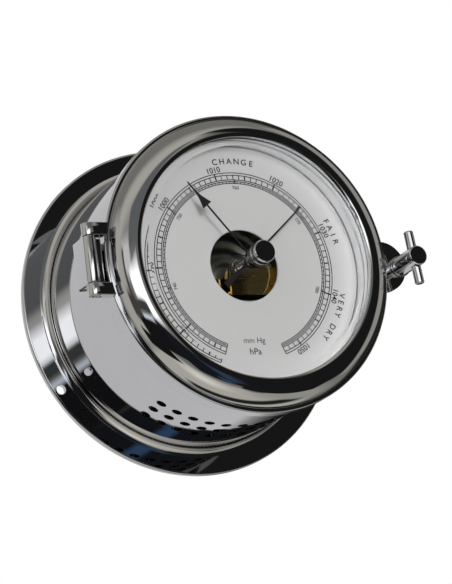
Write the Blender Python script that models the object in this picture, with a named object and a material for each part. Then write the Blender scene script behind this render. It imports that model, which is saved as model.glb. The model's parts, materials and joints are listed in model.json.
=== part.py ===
"""Ship barometer: a chrome case on a screw-down flange, a hinged glazed bezel with a T-handle closure,
a set hand on a knob through the glass, and an aneroid movement open to view through the dial.

Metres, +Z up. The dial faces -Y and the origin is the centre of the back face, on the bulkhead.
Depths are given as "forward", the distance in front of the bulkhead, so forward = -Y.
Clock angles are degrees clockwise from the top, as seen from the front.
"""
import math

import bmesh
import bpy
from mathutils import Matrix, Vector

# Fits
CLEARANCE = 0.0003
CUT_MARGIN = 0.001
BLANK_OVERLAP = 0.004

# Base flange and foot moulding
FLANGE_WIDTH = 0.0140
FLANGE_THICKNESS = 0.003
FLANGE_EDGE_ROUND = 0.0010
FOOT_WIDTH = 0.0040
FOOT_HEIGHT = 0.0036
MOUNT_HOLE_RADIUS = 0.0026
MOUNT_HOLE_INSET = 0.0045
MOUNT_HOLE_COUNT = 3

# Case tube and vents
CASE_RADIUS = 0.076
CASE_WALL = 0.0016
TUBE_LENGTH = 0.0705
VENT_RADIUS = 0.00275
VENT_COLUMNS = 10
VENT_ROWS = 3
VENT_COLUMN_STEP = 7.0
VENT_ROW_STEP = 0.0103
VENT_BACK_MARGIN = 0.0279

# Back plate
BACK_PLATE_THICKNESS = 0.0015
BACK_PLATE_MARGIN = 0.0019
BACK_LEDGE_WIDTH = 0.0055
BACK_SCREW_COUNT = 4
BACK_SCREW_RADIUS = 0.0009
BACK_SCREW_HEAD_RADIUS = 0.0018
BACK_SCREW_LENGTH = 0.0025
ACCESS_HOLE_RADIUS = 0.0045

# Seat ring in front of the tube
SEAT_RING_LENGTH = 0.0072
SEAT_WALL = 0.0095
SEAT_SPIGOT_LENGTH = 0.005
DIAL_LEDGE_WIDTH = 0.0045
GASKET_WIDTH = 0.0024
GASKET_THICKNESS = 0.0012
GASKET_INSET = 0.0040

# Dial
DIAL_THICKNESS = 0.0012
DIAL_OPENING_RADIUS = 0.0190
DIAL_SCREW_COUNT = 3
DIAL_SCREW_INSET = 0.0017
DIAL_SCREW_RADIUS = 0.0006
DIAL_SCREW_HEAD_RADIUS = 0.0011
DIAL_SCREW_LENGTH = 0.0030

# Bezel
BEZEL_OVERHANG = 0.0030
BEZEL_RIM_LENGTH = 0.0071
BEZEL_RIM_STEP = 0.0022
BEZEL_RIM_CHAMFER = 0.0007
BEZEL_DEPTH = 0.0178
BEZEL_ROUND_WIDTH = 0.0115
LIP_WIDTH = 0.0018
LIP_DROP = 0.0008
BEZEL_ROUND_STEPS = 8
LIP_STEPS = 2

# Glass and what holds it
GLASS_UNDER_LIP = 0.0030
GLASS_THICKNESS = 0.0036
GLASS_BEVEL_WIDTH = 0.0051
GLASS_LAND_WIDTH = 0.0025
GLASS_BEVEL_DEPTH = 0.0014
GLASS_HOLE_RADIUS = 0.0035
GLASS_GASKET_THICKNESS = 0.0006
RETAINER_WALL = 0.0030
RETAINER_LENGTH = 0.0120

# Set knob through the glass
BUSH_BORE = 0.0018
BUSH_FLANGE_RADIUS = 0.0058
BUSH_FLANGE_THICKNESS = 0.0012
BUSH_NUT_RADIUS = 0.0052
BUSH_NUT_THICKNESS = 0.0010
KNOB_RADIUS = 0.0060
KNOB_LENGTH = 0.0078
KNOB_RIDGES = 24
KNOB_RIDGE_DEPTH = 0.0003
KNOB_CHAMFER = 0.0006
KNOB_BLIND_END = 0.0020
SET_HAND_HUB_RADIUS = 0.0032
SET_HAND_HUB_LENGTH = 0.0012
SET_HAND_THICKNESS = 0.0006
SET_HAND_LENGTH = 0.0514
SET_HAND_STEM = 0.0010
SET_HAND_ARROW_START = 0.0374
SET_HAND_ARROW_END = 0.0446
SET_HAND_ARROW_WIDTH = 0.0056
SET_HAND_NOTCH = 0.0024
SET_HAND_ANGLE = -37.6

# Pointer and its arbor
POINTER_LENGTH = 0.0465
POINTER_TAIL = 0.0110
POINTER_WIDTH = 0.0014
POINTER_TIP_WIDTH = 0.0007
POINTER_THICKNESS = 0.0006
POINTER_HUB_RADIUS = 0.0026
POINTER_HUB_LENGTH = 0.0018
POINTER_OVER_DIAL = 0.0025
POINTER_ANGLE = 48.5
ARBOR_RADIUS = 0.0008
COLLET_RADIUS = 0.0018

# Bezel hinge on the left
HINGE_OUT = 0.0082
HINGE_SETOUT = 0.0079
KNUCKLE_RADIUS = 0.0034
KNUCKLE_LENGTH = 0.0240
HINGE_LUG_HEIGHT = 0.0064
HINGE_PIN_RADIUS = 0.0015
HINGE_ARM_THICKNESS = 0.0040
HINGE_FOOT_THICKNESS = 0.0058
HINGE_ARM_CORNER = 0.0020

# Closure on the right
CLOSURE_OUT = 0.0143
TAB_CENTRE_OUT = 0.0046
TAB_RADIUS = 0.0141
TAB_THICKNESS = 0.0028
TAB_OVERHANG = 0.0016
CLOSURE_LUG_RADIUS = 0.0115
CLOSURE_LUG_THICKNESS = 0.0052
CLOSURE_LUG_WALL = 0.0016
STUD_RADIUS = 0.0021
STUD_SIDE_PLAY = 0.0005
STUD_ENGAGEMENT = 0.0045
WASHER_RADIUS = 0.0056
WASHER_THICKNESS = 0.0010
HANDLE_RADIUS = 0.0052
HANDLE_LENGTH = 0.0204
HANDLE_CHAMFER = 0.0004
T_BAR_RADIUS = 0.0025
T_BAR_LENGTH = 0.0266
T_BAR_SETBACK = 0.0044
T_BAR_ANGLE = -5.7
T_BAR_CHAMFER = 0.0004

# Movement: plates and posts
BASE_PLATE_THICKNESS = 0.0025
BASE_PLATE_MARGIN = 0.0174
DIAL_PILLAR_INSET = 0.0050
DIAL_PILLAR_LENGTH = 0.0350
DIAL_PILLAR_COUNT = 3
DIAL_PILLAR_RADIUS = 0.0030
PILLAR_SCREW_RADIUS = 0.0012
PILLAR_SCREW_HEAD_RADIUS = 0.0024
PILLAR_SCREW_HEAD = 0.0016
PILLAR_SCREW_GRIP = 0.0050
REAR_BRIDGE_THICKNESS = 0.0014
REAR_BRIDGE_HALF_LENGTH = 0.0415
REAR_BRIDGE_TOP = -0.0035
REAR_BRIDGE_BOTTOM = -0.0145
BRIDGE_BOSS_RADIUS = 0.0040
BRIDGE_POST_INSET = 0.0050
BRIDGE_POST_LENGTH = 0.0225
BRIDGE_POST_RADIUS = 0.0030
FRONT_BRIDGE_THICKNESS = 0.0016
FRONT_BRIDGE_LEFT = -0.0060
FRONT_BRIDGE_REACH = 0.0078
FRONT_BRIDGE_TOP = 0.0010
FRONT_BRIDGE_BOTTOM = -0.0135
SHORT_PILLAR_RADIUS = 0.0015
SHORT_PILLAR_LENGTH = 0.0046
SHORT_PILLAR_INSET = 0.0021

# Movement: aneroid capsule
CAPSULE_RADIUS = 0.0300
CAPSULE_THICKNESS = 0.0095
CAPSULE_RIM = 0.0020
CAPSULE_BOSS_RADIUS = 0.0055
CAPSULE_WAVES = 4
CAPSULE_WAVE_HEIGHT = 0.0011
CAPSULE_WAVE_POINTS = 4
CAPSULE_BACK_BEVEL = 0.0020
CAPSULE_POST_RADIUS = 0.0040
CAPSULE_POST_LENGTH = 0.0044
CAPSULE_STUD_RADIUS = 0.0015
CAPSULE_STUD_FLANGE_RADIUS = 0.0024
CAPSULE_STUD_FLANGE = 0.0010
CAPSULE_STUD_TRAVEL = 0.0013

# Movement: rocker shaft
ROCKER_Z = -0.0080
ROCKER_RADIUS = 0.0013
ROCKER_LEFT = -0.0110
ROCKER_RIGHT = 0.0228
ROCKER_PIVOT_RADIUS = 0.0007
ROCKER_BRACKET_THICKNESS = 0.0016
ROCKER_BRACKET_WIDTH = 0.0050
LEVER_WIDTH = 0.0026
LEVER_THICKNESS = 0.0012
DRIVE_PIN_RADIUS = 0.0005

# Movement: toothed sector and pinion
TOOTH_MODULE = 0.00028
PINION_TEETH = 12
PINION_LENGTH = 0.0023
SECTOR_WHEEL_TEETH = 120
SECTOR_TEETH = 14
SECTOR_TEETH_BEFORE = 9
SECTOR_THICKNESS = 0.0012
SECTOR_LIFT = 0.0018
SECTOR_HUB_RADIUS = 0.0018
SECTOR_RIM_WIDTH = 0.0022
SECTOR_SPOKE_ANGLE = 6.0
SECTOR_TAIL_ARM = 0.0025
SECTOR_TAIL_LENGTH = 0.0040
SECTOR_TAIL_WIDTH = 0.0036
FORK_PLAY = 0.00025
ADDENDUM_SHARE = 0.80
DEDENDUM_SHARE = 1.15
TOOTH_TIP_SHARE = 0.20
TOOTH_ROOT_SHARE = 0.48

# Movement: hairspring
HAIRSPRING_TURNS = 4
HAIRSPRING_WIRE_RADIUS = 0.0002
HAIRSPRING_PITCH = 0.0013
HAIRSPRING_OVER_BRIDGE = 0.0014
HAIRSPRING_STUD_RADIUS = 0.0006
HAIRSPRING_END_ANGLE = 115.0
POINTS_PER_TURN = 24

# Adjusting screw reached from the back
ADJUSTER_INSET = 0.0180
ADJUSTER_RADIUS = 0.0020
ADJUSTER_HEAD_RADIUS = 0.0036
ADJUSTER_HEAD_LENGTH = 0.0036
ADJUSTER_SLOT_WIDTH = 0.0010
ADJUSTER_SLOT_DEPTH = 0.0012

# Roundness of the solids
RING_SEGMENTS = 60
CAPSULE_SEGMENTS = 36
HANDLE_SEGMENTS = 24
SMALL_SEGMENTS = 16
TINY_SEGMENTS = 10

# Finishes: base colour, metallic, roughness
CHROME = ((0.80, 0.80, 0.82), 1.0, 0.05)
BRASS = ((0.72, 0.52, 0.20), 1.0, 0.22)
STEEL = ((0.55, 0.56, 0.58), 1.0, 0.30)
DARK_METAL = ((0.10, 0.10, 0.09), 1.0, 0.35)
SILVERED = ((0.72, 0.72, 0.73), 0.3, 0.45)
BLACK_PAINT = ((0.012, 0.012, 0.013), 0.0, 0.40)
RUBBER = ((0.02, 0.02, 0.02), 0.0, 0.80)
GLASS = ((0.95, 0.97, 0.98), 0.0, 0.02)

# Depths that follow from the sizes above
CASE_BORE = CASE_RADIUS - CASE_WALL
FLANGE_RADIUS = CASE_RADIUS + FLANGE_WIDTH
MOUNT_HOLE_CIRCLE = FLANGE_RADIUS - MOUNT_HOLE_INSET
BACK_PLATE_RADIUS = CASE_BORE - BACK_PLATE_MARGIN
FLANGE_BORE = BACK_PLATE_RADIUS - BACK_LEDGE_WIDTH
TUBE_BACK = FLANGE_THICKNESS + CLEARANCE
TUBE_FRONT = TUBE_BACK + TUBE_LENGTH
SEAT_BACK = TUBE_FRONT + CLEARANCE
SEAT_FRONT = SEAT_BACK + SEAT_RING_LENGTH
DIAL_FRONT = SEAT_FRONT
DIAL_BACK = DIAL_FRONT - DIAL_THICKNESS
DIAL_LEDGE = DIAL_BACK - CLEARANCE
SEAT_BORE = CASE_RADIUS - SEAT_WALL
DIAL_RADIUS = SEAT_BORE - CLEARANCE
GASKET_CIRCLE = CASE_RADIUS - GASKET_INSET
DIAL_SCREW_CIRCLE = DIAL_RADIUS - DIAL_SCREW_INSET
BACK_SCREW_CIRCLE = FLANGE_BORE + BACK_LEDGE_WIDTH / 2
BEZEL_BACK = SEAT_FRONT + CLEARANCE
BEZEL_CREST = BEZEL_BACK + BEZEL_DEPTH
BEZEL_RADIUS = CASE_RADIUS + BEZEL_OVERHANG
BEZEL_RIM_FRONT = BEZEL_BACK + BEZEL_RIM_LENGTH
BEZEL_CREST_RADIUS = BEZEL_RADIUS - BEZEL_RIM_STEP - BEZEL_ROUND_WIDTH
LIP_RADIUS = BEZEL_CREST_RADIUS - LIP_WIDTH
GLASS_RADIUS = LIP_RADIUS + GLASS_UNDER_LIP
BEZEL_BORE = GLASS_RADIUS + CLEARANCE
RETAINER_BACK = BEZEL_BACK + CLEARANCE
RETAINER_FRONT = RETAINER_BACK + RETAINER_LENGTH
GLASS_BACK = RETAINER_FRONT + CLEARANCE
GLASS_FRONT = GLASS_BACK + GLASS_THICKNESS
GLASS_LAND = GLASS_FRONT - GLASS_BEVEL_DEPTH
GLASS_LAND_RADIUS = GLASS_RADIUS - GLASS_LAND_WIDTH
GLASS_BEVEL_RADIUS = GLASS_LAND_RADIUS - GLASS_BEVEL_WIDTH
GLASS_GASKET_BACK = GLASS_LAND + CLEARANCE
GLASS_GASKET_FRONT = GLASS_GASKET_BACK + GLASS_GASKET_THICKNESS
LIP_BACK = GLASS_GASKET_FRONT + CLEARANCE
LIP_FRONT = BEZEL_CREST - LIP_DROP
BUSH_RADIUS = GLASS_HOLE_RADIUS - CLEARANCE
BUSH_FLANGE_BACK = GLASS_FRONT + CLEARANCE
BUSH_FRONT = BUSH_FLANGE_BACK + BUSH_FLANGE_THICKNESS
BUSH_NUT_FRONT = GLASS_BACK - CLEARANCE
BUSH_BACK = BUSH_NUT_FRONT - BUSH_NUT_THICKNESS
SPINDLE_RADIUS = BUSH_BORE - CLEARANCE
KNOB_BACK = BUSH_FRONT + CLEARANCE
KNOB_FRONT = KNOB_BACK + KNOB_LENGTH
SPINDLE_FRONT = KNOB_FRONT - KNOB_BLIND_END
SET_HUB_FRONT = BUSH_BACK - CLEARANCE
SET_HUB_BACK = SET_HUB_FRONT - SET_HAND_HUB_LENGTH
POINTER_HUB_BACK = DIAL_FRONT + POINTER_OVER_DIAL
POINTER_HUB_FRONT = POINTER_HUB_BACK + POINTER_HUB_LENGTH
HINGE_X = -(BEZEL_RADIUS + HINGE_OUT)
HINGE_FORWARD = BEZEL_BACK + HINGE_SETOUT
KNUCKLE_HALF = KNUCKLE_LENGTH / 2
LUG_LOW = KNUCKLE_HALF + CLEARANCE
LUG_HIGH = LUG_LOW + HINGE_LUG_HEIGHT
HINGE_FOOT_BACK = SEAT_BACK + CLEARANCE
CLOSURE_X = CASE_RADIUS + CLOSURE_OUT
TAB_CENTRE_X = CASE_RADIUS + TAB_CENTRE_OUT
TAB_BACK = BEZEL_BACK - TAB_OVERHANG
TAB_FRONT = TAB_BACK + TAB_THICKNESS
CLOSURE_LUG_FRONT = TAB_BACK - CLEARANCE
CLOSURE_LUG_BACK = CLOSURE_LUG_FRONT - CLOSURE_LUG_THICKNESS
STUD_HOLE_RADIUS = STUD_RADIUS + STUD_SIDE_PLAY
STUD_BACK = CLOSURE_LUG_FRONT - STUD_ENGAGEMENT
WASHER_BACK = TAB_FRONT + CLEARANCE
WASHER_FRONT = WASHER_BACK + WASHER_THICKNESS
HANDLE_BACK = WASHER_FRONT + CLEARANCE
HANDLE_FRONT = HANDLE_BACK + HANDLE_LENGTH
T_BAR_FORWARD = HANDLE_FRONT - T_BAR_SETBACK
DIAL_PILLAR_FRONT = DIAL_BACK - CLEARANCE
DIAL_PILLAR_BACK = DIAL_PILLAR_FRONT - DIAL_PILLAR_LENGTH
BASE_PLATE_RADIUS = CASE_BORE - BASE_PLATE_MARGIN
DIAL_PILLAR_CIRCLE = BASE_PLATE_RADIUS - DIAL_PILLAR_INSET
ADJUSTER_Z = ADJUSTER_INSET - BASE_PLATE_RADIUS
BASE_PLATE_FRONT = DIAL_PILLAR_BACK - CLEARANCE
BASE_PLATE_BACK = BASE_PLATE_FRONT - BASE_PLATE_THICKNESS
BRIDGE_POST_BACK = BASE_PLATE_FRONT + CLEARANCE
BRIDGE_POST_FRONT = BRIDGE_POST_BACK + BRIDGE_POST_LENGTH
BRIDGE_POST_X = REAR_BRIDGE_HALF_LENGTH - BRIDGE_POST_INSET
REAR_BRIDGE_BACK = BRIDGE_POST_FRONT + CLEARANCE
REAR_BRIDGE_FRONT = REAR_BRIDGE_BACK + REAR_BRIDGE_THICKNESS
SHORT_PILLAR_BACK = REAR_BRIDGE_FRONT + CLEARANCE
SHORT_PILLAR_FRONT = SHORT_PILLAR_BACK + SHORT_PILLAR_LENGTH
FRONT_BRIDGE_BACK = SHORT_PILLAR_FRONT + CLEARANCE
FRONT_BRIDGE_FRONT = FRONT_BRIDGE_BACK + FRONT_BRIDGE_THICKNESS
BRIDGE_POST_Z = (REAR_BRIDGE_TOP + REAR_BRIDGE_BOTTOM) / 2
CAPSULE_POST_BACK = BASE_PLATE_FRONT + CLEARANCE
CAPSULE_BACK = CAPSULE_POST_BACK + CAPSULE_POST_LENGTH + CLEARANCE
CAPSULE_FRONT = CAPSULE_BACK + CAPSULE_THICKNESS
SECTOR_BACK = REAR_BRIDGE_FRONT + SECTOR_LIFT
SECTOR_FRONT = SECTOR_BACK + SECTOR_THICKNESS
SECTOR_MIDDLE = (SECTOR_BACK + SECTOR_FRONT) / 2
PINION_BACK = SECTOR_MIDDLE - PINION_LENGTH / 2
PINION_FRONT = SECTOR_MIDDLE + PINION_LENGTH / 2
PINION_PITCH_RADIUS = TOOTH_MODULE * PINION_TEETH / 2
SECTOR_PITCH_RADIUS = TOOTH_MODULE * SECTOR_WHEEL_TEETH / 2
CENTRE_DISTANCE = PINION_PITCH_RADIUS + SECTOR_PITCH_RADIUS
SECTOR_X = math.sqrt(CENTRE_DISTANCE ** 2 - ROCKER_Z ** 2)
SECTOR_Z = ROCKER_Z
FRONT_BRIDGE_RIGHT = SECTOR_X + FRONT_BRIDGE_REACH
TOWARDS_PINION = math.degrees(math.atan2(-SECTOR_X, -SECTOR_Z))
TOWARDS_SECTOR = TOWARDS_PINION + 180.0
DRIVE_PIN_X = SECTOR_X + SECTOR_TAIL_ARM
PIVOT_HOLE_RADIUS = ARBOR_RADIUS + CLEARANCE
ROCKER_BRACKET_FRONT = REAR_BRIDGE_BACK - CLEARANCE
ROCKER_FORWARD = REAR_BRIDGE_BACK - 2 * CLEARANCE - ROCKER_RADIUS - ROCKER_BRACKET_THICKNESS
ROCKER_BRACKET_BACK = ROCKER_FORWARD - ROCKER_BRACKET_WIDTH / 2
LEVER_BACK = ROCKER_FORWARD - LEVER_THICKNESS / 2
STUD_TOP = LEVER_BACK - CLEARANCE
STUD_FLANGE_BACK = STUD_TOP - CAPSULE_STUD_FLANGE
CAPSULE_WELL = CAPSULE_FRONT - CAPSULE_STUD_TRAVEL - 2 * CLEARANCE
STUD_FOOT = CAPSULE_WELL + CAPSULE_STUD_TRAVEL / 2 + CLEARANCE
HAIRSPRING_FORWARD = FRONT_BRIDGE_FRONT + HAIRSPRING_OVER_BRIDGE
HAIRSPRING_START = COLLET_RADIUS + CLEARANCE + HAIRSPRING_WIRE_RADIUS
HAIRSPRING_END = HAIRSPRING_START + HAIRSPRING_PITCH * HAIRSPRING_TURNS
HAIRSPRING_STUD_CIRCLE = HAIRSPRING_END + HAIRSPRING_WIRE_RADIUS + CLEARANCE + HAIRSPRING_STUD_RADIUS


def clear_scene():
    for obj in list(bpy.data.objects):
        bpy.data.objects.remove(obj, do_unlink=True)


def clock(radius, angle, centre=(0.0, 0.0)):
    """The (x, z) point at a clock angle on a circle."""
    turn = math.radians(angle)
    return (centre[0] + radius * math.sin(turn), centre[1] + radius * math.cos(turn))


def arc(radius, start, end, steps, centre=(0.0, 0.0)):
    """Points along a circle between two clock angles."""
    return [clock(radius, start + (end - start) * i / steps, centre) for i in range(steps + 1)]


def ellipse_quarter(centre, half_sizes, start, end, steps):
    """(radius, forward) points on an ellipse, angles from the radial direction towards the front."""
    points = []
    for i in range(steps + 1):
        turn = math.radians(start + (end - start) * i / steps)
        radius = centre[0] + half_sizes[0] * math.cos(turn)
        forward = centre[1] + half_sizes[1] * math.sin(turn)
        points.append((radius, forward))
    return points


def finish_material(name, finish):
    colour, metallic, roughness = finish
    material = bpy.data.materials.new(name + "_finish")
    material.use_nodes = True
    shader = material.node_tree.nodes["Principled BSDF"]
    shader.inputs["Base Color"].default_value = (*colour, 1.0)
    shader.inputs["Metallic"].default_value = metallic
    shader.inputs["Roughness"].default_value = roughness
    if finish is GLASS:
        shader.inputs["Transmission Weight"].default_value = 1.0
    material.diffuse_color = (*colour, 1.0)
    return material


def add_axis(name, location):
    """An empty on a joint's axis, to which the pieces that turn or slide there are parented."""
    empty = bpy.data.objects.new(name, None)
    empty.location = location
    empty.empty_display_size = 0.01
    bpy.context.scene.collection.objects.link(empty)
    return empty


def add_object(name, bm):
    bmesh.ops.recalc_face_normals(bm, faces=bm.faces[:])
    mesh = bpy.data.meshes.new(name)
    bm.to_mesh(mesh)
    bm.free()
    mesh.shade_smooth()
    mesh.set_sharp_from_angle(angle=math.radians(35))
    obj = bpy.data.objects.new(name, mesh)
    bpy.context.scene.collection.objects.link(obj)
    return obj


def add_piece(name, bm, finish, axis=None):
    obj = add_object(name, bm)
    obj.data.materials.append(finish_material(name, finish))
    if axis is not None:
        obj.parent = axis
        obj.matrix_parent_inverse = Matrix.Translation(axis.location).inverted()
    return obj


def add_helper(name, bm):
    obj = add_object(name, bm)
    obj.hide_render = True
    obj.display_type = "WIRE"
    return obj


def combine(obj, helper_bm, operation):
    helper = add_helper(obj.name + "_" + operation.lower(), helper_bm)
    modifier = obj.modifiers.new(operation.title(), "BOOLEAN")
    modifier.operation = operation
    modifier.solver = "EXACT"
    modifier.object = helper


def cut(obj, helper_bm):
    combine(obj, helper_bm, "DIFFERENCE")


def join(obj, helper_bm):
    combine(obj, helper_bm, "UNION")


def revolve(profile, centre=(0.0, 0.0), segments=RING_SEGMENTS, ridge_depth=0.0, ridge_rows=()):
    """Turn a (radius, forward) profile about an axis along Y. A profile that starts and ends on the axis
    gets flat end faces there; any other is a closed ring section. Rows in ridge_rows are knurled."""
    bm = bmesh.new()
    rows = []
    for index, (radius, forward) in enumerate(profile):
        if radius == 0.0:
            continue
        row = []
        for step in range(segments):
            low = ridge_depth if index in ridge_rows and step % 2 else 0.0
            x, z = clock(radius - low, 360.0 * step / segments, centre)
            row.append(bm.verts.new((x, -forward, z)))
        rows.append(row)
    pairs = list(zip(rows, rows[1:]))
    if profile[0][0] == 0.0:
        bm.faces.new(rows[0])
        bm.faces.new(rows[-1])
    else:
        pairs.append((rows[-1], rows[0]))
    for near, far in pairs:
        for step in range(segments):
            following = (step + 1) % segments
            bm.faces.new((near[step], near[following], far[following], far[step]))
    return bm


def disc_profile(radius, back, front):
    return [(0.0, back), (radius, back), (radius, front), (0.0, front)]


def ring_profile(inner, outer, back, front):
    return [(inner, back), (outer, back), (outer, front), (inner, front)]


def extrude_outline(outline, low, high, upward=False):
    """A prism. By default the outline is (x, z) and runs forward from low to high; with upward it is
    (x, forward) and runs in z from low to high."""
    bm = bmesh.new()
    if upward:
        verts = [bm.verts.new((x, -forward, low)) for x, forward in outline]
        offset = Vector((0.0, 0.0, high - low))
    else:
        verts = [bm.verts.new((x, -low, z)) for x, z in outline]
        offset = Vector((0.0, low - high, 0.0))
    face = bm.faces.new(verts)
    grown = bmesh.ops.extrude_face_region(bm, geom=[face])
    moved = [item for item in grown["geom"] if isinstance(item, bmesh.types.BMVert)]
    bmesh.ops.translate(bm, verts=moved, vec=offset)
    return bm


def rectangle(left, right, low, high):
    return [(left, low), (right, low), (right, high), (left, high)]


def add_rod(bm, start, end, radius, segments=SMALL_SEGMENTS):
    """Add a closed round rod between two points to a mesh."""
    start = Vector(start)
    end = Vector(end)
    turn = Vector((0.0, 0.0, 1.0)).rotation_difference(end - start).to_matrix().to_4x4()
    place = Matrix.Translation((start + end) / 2) @ turn
    depth = (end - start).length
    bmesh.ops.create_cone(bm, cap_ends=True, segments=segments, radius1=radius, radius2=radius,
                          depth=depth, matrix=place)


def rod(start, end, radius, segments=SMALL_SEGMENTS):
    bm = bmesh.new()
    add_rod(bm, start, end, radius, segments)
    return bm


def drill(obj, places, radius, back, front, segments=SMALL_SEGMENTS):
    """Cut round holes along Y at (x, z) places, running past both faces."""
    bm = bmesh.new()
    for x, z in places:
        add_rod(bm, (x, -back + CUT_MARGIN, z), (x, -front - CUT_MARGIN, z), radius, segments)
    cut(obj, bm)


def ring_places(radius, count, first_angle=0.0):
    return [clock(radius, first_angle + 360.0 * i / count) for i in range(count)]


def countersunk_profile(head_radius, shank_radius, top, length, grow=0.0, towards_front=True):
    """A countersunk screw, or with grow the hole that takes it. The head's flat face is at top."""
    sign = -1.0 if towards_front else 1.0
    cone = head_radius - shank_radius
    face = top - sign * grow
    return [(0.0, face), (head_radius + grow, face), (head_radius + grow, top),
            (shank_radius + grow, top + sign * cone), (shank_radius + grow, top + sign * (length + grow)),
            (0.0, top + sign * (length + grow))]


# Base flange, tube and back plate

def build_case():
    foot_inner = CASE_RADIUS + CLEARANCE
    foot_outer = foot_inner + FOOT_WIDTH
    foot_front = FLANGE_THICKNESS + FOOT_HEIGHT
    rebate = BACK_PLATE_RADIUS + CLEARANCE
    rebate_front = BACK_PLATE_THICKNESS + CLEARANCE
    rim = ellipse_quarter((FLANGE_RADIUS - FLANGE_EDGE_ROUND, FLANGE_THICKNESS - FLANGE_EDGE_ROUND),
                          (FLANGE_EDGE_ROUND, FLANGE_EDGE_ROUND), 0, 90, 2)
    round_foot = ellipse_quarter((foot_outer - FOOT_WIDTH / 2, foot_front - FOOT_HEIGHT / 2),
                                 (FOOT_WIDTH / 2, FOOT_HEIGHT / 2), 0, 90, 3)
    profile = [(rebate, 0.0), (FLANGE_RADIUS, 0.0)] + rim
    profile += [(foot_outer, FLANGE_THICKNESS)] + round_foot
    profile += [(foot_inner, foot_front), (foot_inner, FLANGE_THICKNESS), (FLANGE_BORE, FLANGE_THICKNESS)]
    profile += [(FLANGE_BORE, rebate_front), (rebate, rebate_front)]
    flange = add_piece("base_flange", revolve(profile), CHROME)
    mount_places = ring_places(MOUNT_HOLE_CIRCLE, MOUNT_HOLE_COUNT)
    drill(flange, mount_places, MOUNT_HOLE_RADIUS, 0.0, FLANGE_THICKNESS)
    screw_places = ring_places(BACK_SCREW_CIRCLE, BACK_SCREW_COUNT, 45.0)
    drill(flange, screw_places, BACK_SCREW_RADIUS + CLEARANCE, 0.0, FLANGE_THICKNESS, TINY_SEGMENTS)

    tube = add_piece("case_tube", revolve(ring_profile(CASE_BORE, CASE_RADIUS,
                                                       TUBE_BACK, TUBE_FRONT)), CHROME)
    vents = bmesh.new()
    for row in range(VENT_ROWS):
        forward = TUBE_BACK + VENT_BACK_MARGIN + VENT_ROW_STEP * row
        for column in range(VENT_COLUMNS):
            angle = 180.0 + VENT_COLUMN_STEP * (column - (VENT_COLUMNS - 1) / 2)
            inner = clock(CASE_BORE - CUT_MARGIN, angle)
            outer = clock(CASE_RADIUS + CUT_MARGIN, angle)
            add_rod(vents, (inner[0], -forward, inner[1]), (outer[0], -forward, outer[1]),
                    VENT_RADIUS, TINY_SEGMENTS)
    cut(tube, vents)

    plate_profile = disc_profile(BACK_PLATE_RADIUS, 0.0, BACK_PLATE_THICKNESS)
    plate = add_piece("back_plate", revolve(plate_profile), CHROME)
    drill(plate, [(0.0, ADJUSTER_Z)], ACCESS_HOLE_RADIUS, 0.0, BACK_PLATE_THICKNESS)
    head_face = CLEARANCE
    for number, place in enumerate(screw_places, 1):
        cut(plate, revolve(countersunk_profile(BACK_SCREW_HEAD_RADIUS, BACK_SCREW_RADIUS, head_face,
                                               BACK_SCREW_LENGTH, CLEARANCE + CUT_MARGIN / 10, False),
                           place, TINY_SEGMENTS))
        add_piece("back_screw_%d" % number,
                  revolve(countersunk_profile(BACK_SCREW_HEAD_RADIUS, BACK_SCREW_RADIUS, head_face,
                                              BACK_SCREW_LENGTH - head_face, 0.0, False),
                          place, TINY_SEGMENTS), STEEL)


# Seat ring, gasket, dial and the fixed halves of the hinge and closure

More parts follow.
